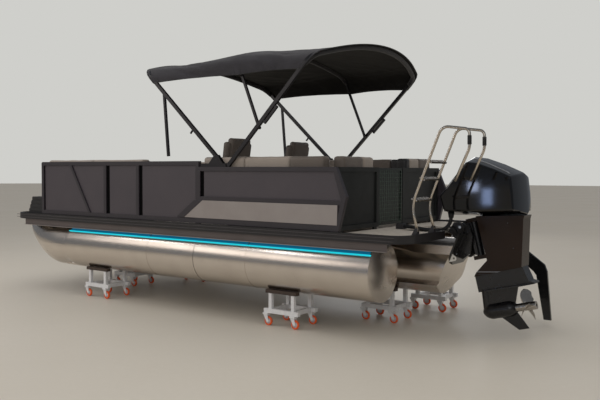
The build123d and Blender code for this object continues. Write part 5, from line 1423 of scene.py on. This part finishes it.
@dataclass
class Outboard:
    """Motor's dressed castings, hood trim, bolts, tilt gear and rigging hose."""

    pivot: Point = (2.9202, 0.0, 1.150)
    trim: float = 14.0
    hood_round: float = 0.030
    inlay: tuple[tuple[float, float], ...] = ((312, 686), (356, 668), (503, 574), (650, 465), (690, 430))
    hood_seam: tuple[tuple[float, float], ...] = ((-90, 205), (60, 160), (227, 122), (480, 72), (690, 30))
    hood_seam_radius: float = 0.0030
    inlay_radius: float = 0.0085
    trim_lift: float = 0.0015
    leg_round: float = 0.022
    gearcase_round: float = 0.006
    leg_bands: tuple[tuple[str, float, float, Finish], ...] = (
        ("leg_band_upper", -500, 7, INLAY),
        ("leg_band_lower", -526, 5, CASTING),
    )
    band_ends: tuple[float, float] = (40, 620)
    band_fall: float = 92
    engine_screws: tuple[tuple[float, float, str], ...] = (
        (126, -690, "gearcase"),
        (275, -690, "gearcase"),
        (520, -330, "engine_midsection"),
        (520, -60, "engine_midsection"),
    )
    clamp_screws: tuple[tuple[float, float, float], ...] = (
        (2.895, 0.86, 0.010), (2.895, 0.95, 0.010), (2.905, 1.06, 0.010), (2.915, 1.165, 0.010),
        (2.9202, 1.150, 0.018),
    )
    screw_radius: float = 0.0075
    ear: tuple[tuple[float, float], ...] = (
        (2.780, 1.090), (2.865, 1.045), (2.950, 1.060), (2.968, 1.160), (2.920, 1.206), (2.850, 1.200),
    )
    ear_faces: tuple[float, float] = (0.1215, 0.148)
    fuel_loop: tuple[Point, ...] = (
        (2.70, -0.21, 1.1085), (2.76, -0.215, 1.135), (2.83, -0.200, 1.150), (2.875, -0.165, 1.115),
        (2.885, -0.150, 1.04), (2.884, -0.148, 0.95), (2.876, -0.150, 0.90),
    )
    sensor_loop: tuple[Point, ...] = (
        (2.74, 0.20, 1.1085), (2.80, 0.20, 1.14), (2.86, 0.185, 1.12), (2.884, 0.160, 1.02),
        (2.876, 0.150, 0.92),
    )
    trim_loop: tuple[Point, ...] = (
        (2.86, -0.188, 1.06), (2.90, -0.192, 1.02), (2.915, -0.185, 0.95), (2.90, -0.178, 0.88),
        (2.872, -0.172, 0.83),
    )
    route: tuple[Point, ...] = (
        (2.2805, -0.200, 1.1316), (2.3352, -0.200, 1.1316), (2.4102, -0.198, 1.1246),
        (2.5102, -0.190, 1.1086), (2.6042, -0.176, 1.1012), (2.6882, -0.158, 1.0982),
        (2.7432, -0.145, 1.1212), (2.7862, -0.136, 1.1632), (2.8092, -0.130, 1.2192),
        (2.8092, -0.130, 1.2729),
    )
    hose_radius: float = 0.020
    hose_slack: float = 0.985  # rounded route's length as a share of the straight legs'
    beside: float = 0.6       # distance from the middle that is outside every piece of the motor

    def at(self, along: float, height: float, y: float = 0.0) -> Vector:
        """Finds a point on the motor as it hangs trimmed.

        Args:
            along: Millimetres aft of the tilt pivot.
            height: Millimetres above it, square to that.
            y: Metres beside the middle plane.

        Returns:
            The point in the boat's frame.
        """
        turn = math.radians(self.trim)
        aft = Vector((math.cos(turn), 0, math.sin(turn)))
        up = Vector((-math.sin(turn), 0, math.cos(turn)))
        return Vector(self.pivot) + (aft * along + up * height) * MM + Vector((0, y, 0))

    def plane(self, start: tuple[float, float], end: tuple[float, float]) -> tuple[Vector, Vector]:
        """Gives a cutting plane square to the motor's side.

        Args:
            start: First point of the cut, along and up in millimetres.
            end: Its last point; what lies to the left of the way there goes.

        Returns:
            A point on the plane and its normal.
        """
        first, last = self.at(*start), self.at(*end)
        return first, (last - first).cross(Vector((0, 1, 0)))

    def castings(self) -> None:
        """Rounds the edges of the hood, leg and gearcase."""
        softened_copy("engine_cowl", self.hood_round, LACQUER, "engine", "motor_hood")
        softened_copy("engine_midsection", self.leg_round, LEG_PAINTED_REFLECTION, "engine", "motor_leg")
        softened_copy("gearcase", self.gearcase_round, CASTING, "engine", "gear_housing")

    def trim_lines(self) -> None:
        """Makes the hood's inlays and seams and the leg's bands."""
        lines = (
            ("inlay", self.inlay, self.inlay_radius, INLAY),
            ("hood_seam", self.hood_seam, self.hood_seam_radius, SHADE_AND_SEAM_BLACK),
        )
        for side, word in SIDES:
            lift = Vector((0, side * self.trim_lift, 0))
            for name, line, radius, finish in lines:
                starts = [self.at(along, height, side * self.beside) for along, height in rounded_way(line)]
                way = [side_spot("engine_cowl", start, side) for start in starts]
                spots = [tuple(spot + lift) for spot in way if spot]
                tube_piece(f"{word}_{name}", spots, radius, finish, "engine")
        fore, aft = self.band_ends
        for name, top, wide, finish in self.leg_bands:
            low_end, high_end = top - self.band_fall, top
            cuts = [
                self.plane((aft, low_end - wide), (fore, high_end - wide)),
                self.plane((fore, high_end), (aft, low_end)),
            ]
            band = patch("engine_midsection", name, finish, "engine", cuts, self.trim_lift)

    def screws(self) -> None:
        """Sets screws on the brackets, the leg and the gear housing."""
        for side, word in SIDES:
            for number, (along, height, node) in enumerate(self.engine_screws):
                spot = side_spot(node, self.at(along, height, side * self.beside), side)
                if spot:
                    self.bolt(f"{word}_screw_{number}", spot, side, self.screw_radius, "engine", BLOCK)
            for number, (x, z, radius) in enumerate(self.clamp_screws):
                spot = side_spot("clamp_bracket", Vector((x, side * self.beside, z)), side)
                if spot:
                    self.bolt(f"{word}_clamp_screw_{number}", spot, side, radius, "hull", ZINC)

    def loops(self) -> None:
        """Lays the short hoses, the clamp's cheeks and the grommet where the hose enters the hood."""
        near, far = self.ear_faces
        for side, word in SIDES:
            cheek = slab(word + "_clamp_cheek", list(self.ear), side * near, side * far, CASTING, "hull")
        grommet = bmesh.new()
        x, y, z = self.route[-1]
        bmesh.ops.create_cone(grommet, cap_ends=True, segments=32, radius1=0.027, radius2=0.036, depth=0.060)
        bmesh.ops.translate(grommet, vec=(x, y, z + 0.006), verts=grommet.verts)
        finish_object(grommet, "hose_grommet", GRIP, "engine")
        fixed = (
            ("fuel_loop", self.fuel_loop, 0.009),
            ("sensor_loop", self.sensor_loop, 0.007),
            ("trim_loop", self.trim_loop, 0.008),
        )
        for name, points, radius in fixed:
            tube_piece(name, rounded_way(points), radius, HOSE, "hull")

    def bolt(self, name: str, place: Vector, side: int, radius: float, body: str, finish: Finish) -> None:
        """Sets a hex screw on a side face.

        Args:
            name: Piece's name.
            place: Middle of the head's seat.
            side: -1 to port, 1 to starboard.
            radius: Head's radius in metres.
            body: Body that carries it.
            finish: Head's finish.
        """
        made = bmesh.new()
        turn = Matrix.Rotation(-side * math.pi / 2, 3, "X")
        raised = place + Vector((0, side * radius * 0.35, 0))
        bmesh.ops.create_cone(
            made, cap_ends=True, segments=6, radius1=radius, radius2=radius * 0.9, depth=radius * 0.8
        )
        bmesh.ops.rotate(made, cent=(0, 0, 0), matrix=turn, verts=made.verts)
        bmesh.ops.translate(made, vec=raised, verts=made.verts)
        finish_object(made, name, finish, body, smooth=False)

    def hose(self) -> None:
        """Lays the rigging hose from its boot on the deck to the hood."""
        curve = bpy.data.curves.new("rigging_conduit", "CURVE")
        curve.dimensions = "3D"
        curve.bevel_depth = self.hose_radius
        curve.bevel_resolution = 8
        curve.resolution_u = 24
        spline = curve.splines.new("NURBS")
        spline.points.add(len(self.route) - 1)
        for target, point in zip(spline.points, self.route):
            target.co = (*point, 1.0)
        spline.order_u = 3
        spline.use_endpoint_u = True
        piece = bpy.data.objects.new("rigging_conduit", curve)
        bpy.context.scene.collection.objects.link(piece)
        curve.materials.append(HOSE.material())
        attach(piece, "hull")
        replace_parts(piece, "rigging_hose")

    def build(self) -> None:
        """Makes the motor's pieces."""
        self.castings()
        self.trim_lines()
        self.screws()
        self.loops()
        self.hose()


@dataclass
class Dollies:
    """Caster wheels with their hubs; sizes in metres."""

    radius: float = 0.052
    width: float = 0.034
    hub_radius: float = 0.034
    half_track: float = 0.172
    spacing: float = 0.1875
    steps: int = 32
    places: tuple[tuple[str, float, float], ...] = (
        ("port_front", -1.9498, -0.949),
        ("starboard_front", -1.9498, 0.949),
        ("centre_front", -2.4798, 0.0),
        ("port_rear", 1.2302, -0.949),
        ("centre_rear", 1.9502, 0.0),
        ("starboard_rear", 2.1202, 0.949),
    )

    def spun(self, profile: list[tuple[float, float]], centre: Vector) -> bmesh.types.BMesh:
        """Spins a closed profile about a wheel's axle.

        Args:
            profile: Sideways offset and radius of each corner.
            centre: Wheel's middle.

        Returns:
            The ring's mesh.
        """
        made = bmesh.new()
        verts = [made.verts.new((0, offset, radius)) for offset, radius in profile]
        edges = [made.edges.new((verts[i], verts[(i + 1) % len(verts)])) for i in range(len(verts))]
        ring = [*verts, *edges]
        bmesh.ops.spin(
            made,
            geom=ring,
            cent=(0, 0, 0),
            axis=(0, 1, 0),
            angle=2 * math.pi,
            steps=self.steps,
            use_merge=True,
        )
        bmesh.ops.remove_doubles(made, verts=made.verts, dist=1e-6)
        bmesh.ops.recalc_face_normals(made, faces=made.faces)
        bmesh.ops.translate(made, vec=centre, verts=made.verts)
        return made

    def pair(self, node: str, x: float, y: float) -> None:
        """Makes the two wheels that turn together.

        Args:
            node: CAD node and body of the pair.
            x: Axle line's place.
            y: Middle between the wheels.
        """
        half, outer, hub = self.width / 2, self.radius, self.hub_radius
        tread = [(-half + 0.004, hub), (-half, outer - 0.012)]
        tread += [(-half + 0.003, outer - 0.004), (-half + 0.009, outer)]
        disc = [(-0.020, 0.0055), (-0.020, 0.012), (-0.015, 0.017), (-0.009, 0.022), (-0.010, hub)]
        tread += [(-offset, reach) for offset, reach in reversed(tread)]
        disc += [(-offset, reach) for offset, reach in reversed(disc)]
        for kind, profile, finish in (("treads", tread, TREAD), ("hubs", disc, ZINC)):
            whole = bmesh.new()
            for side in (-1, 1):
                one = self.spun(profile, Vector((x, y + side * self.half_track, self.radius)))
                mesh = bpy.data.meshes.new("ring")
                one.to_mesh(mesh)
                one.free()
                whole.from_mesh(mesh)
                bpy.data.meshes.remove(mesh)
            piece = finish_object(whole, f"{node}_{kind}", finish, node)
            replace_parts(piece, node)

    def build(self) -> None:
        """Makes all wheels."""
        for name, x, y in self.places:
            for end, offset in (("fore", -self.spacing), ("aft", self.spacing)):
                self.pair(f"{name}_wheels_{end}", x + offset, y)


def main() -> None:
    """Builds the dressed boat."""
    logging.basicConfig(level=logging.INFO, format="%(message)s")
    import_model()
    parts = (Studio(), Outboard(), Hull(), Ladder(), Fences(), Seating(), Canopy(), Dollies())
    for part in parts:
        part.build()
        LOG.info("built %s", type(part).__name__)


if __name__ == "__main__":
    main()
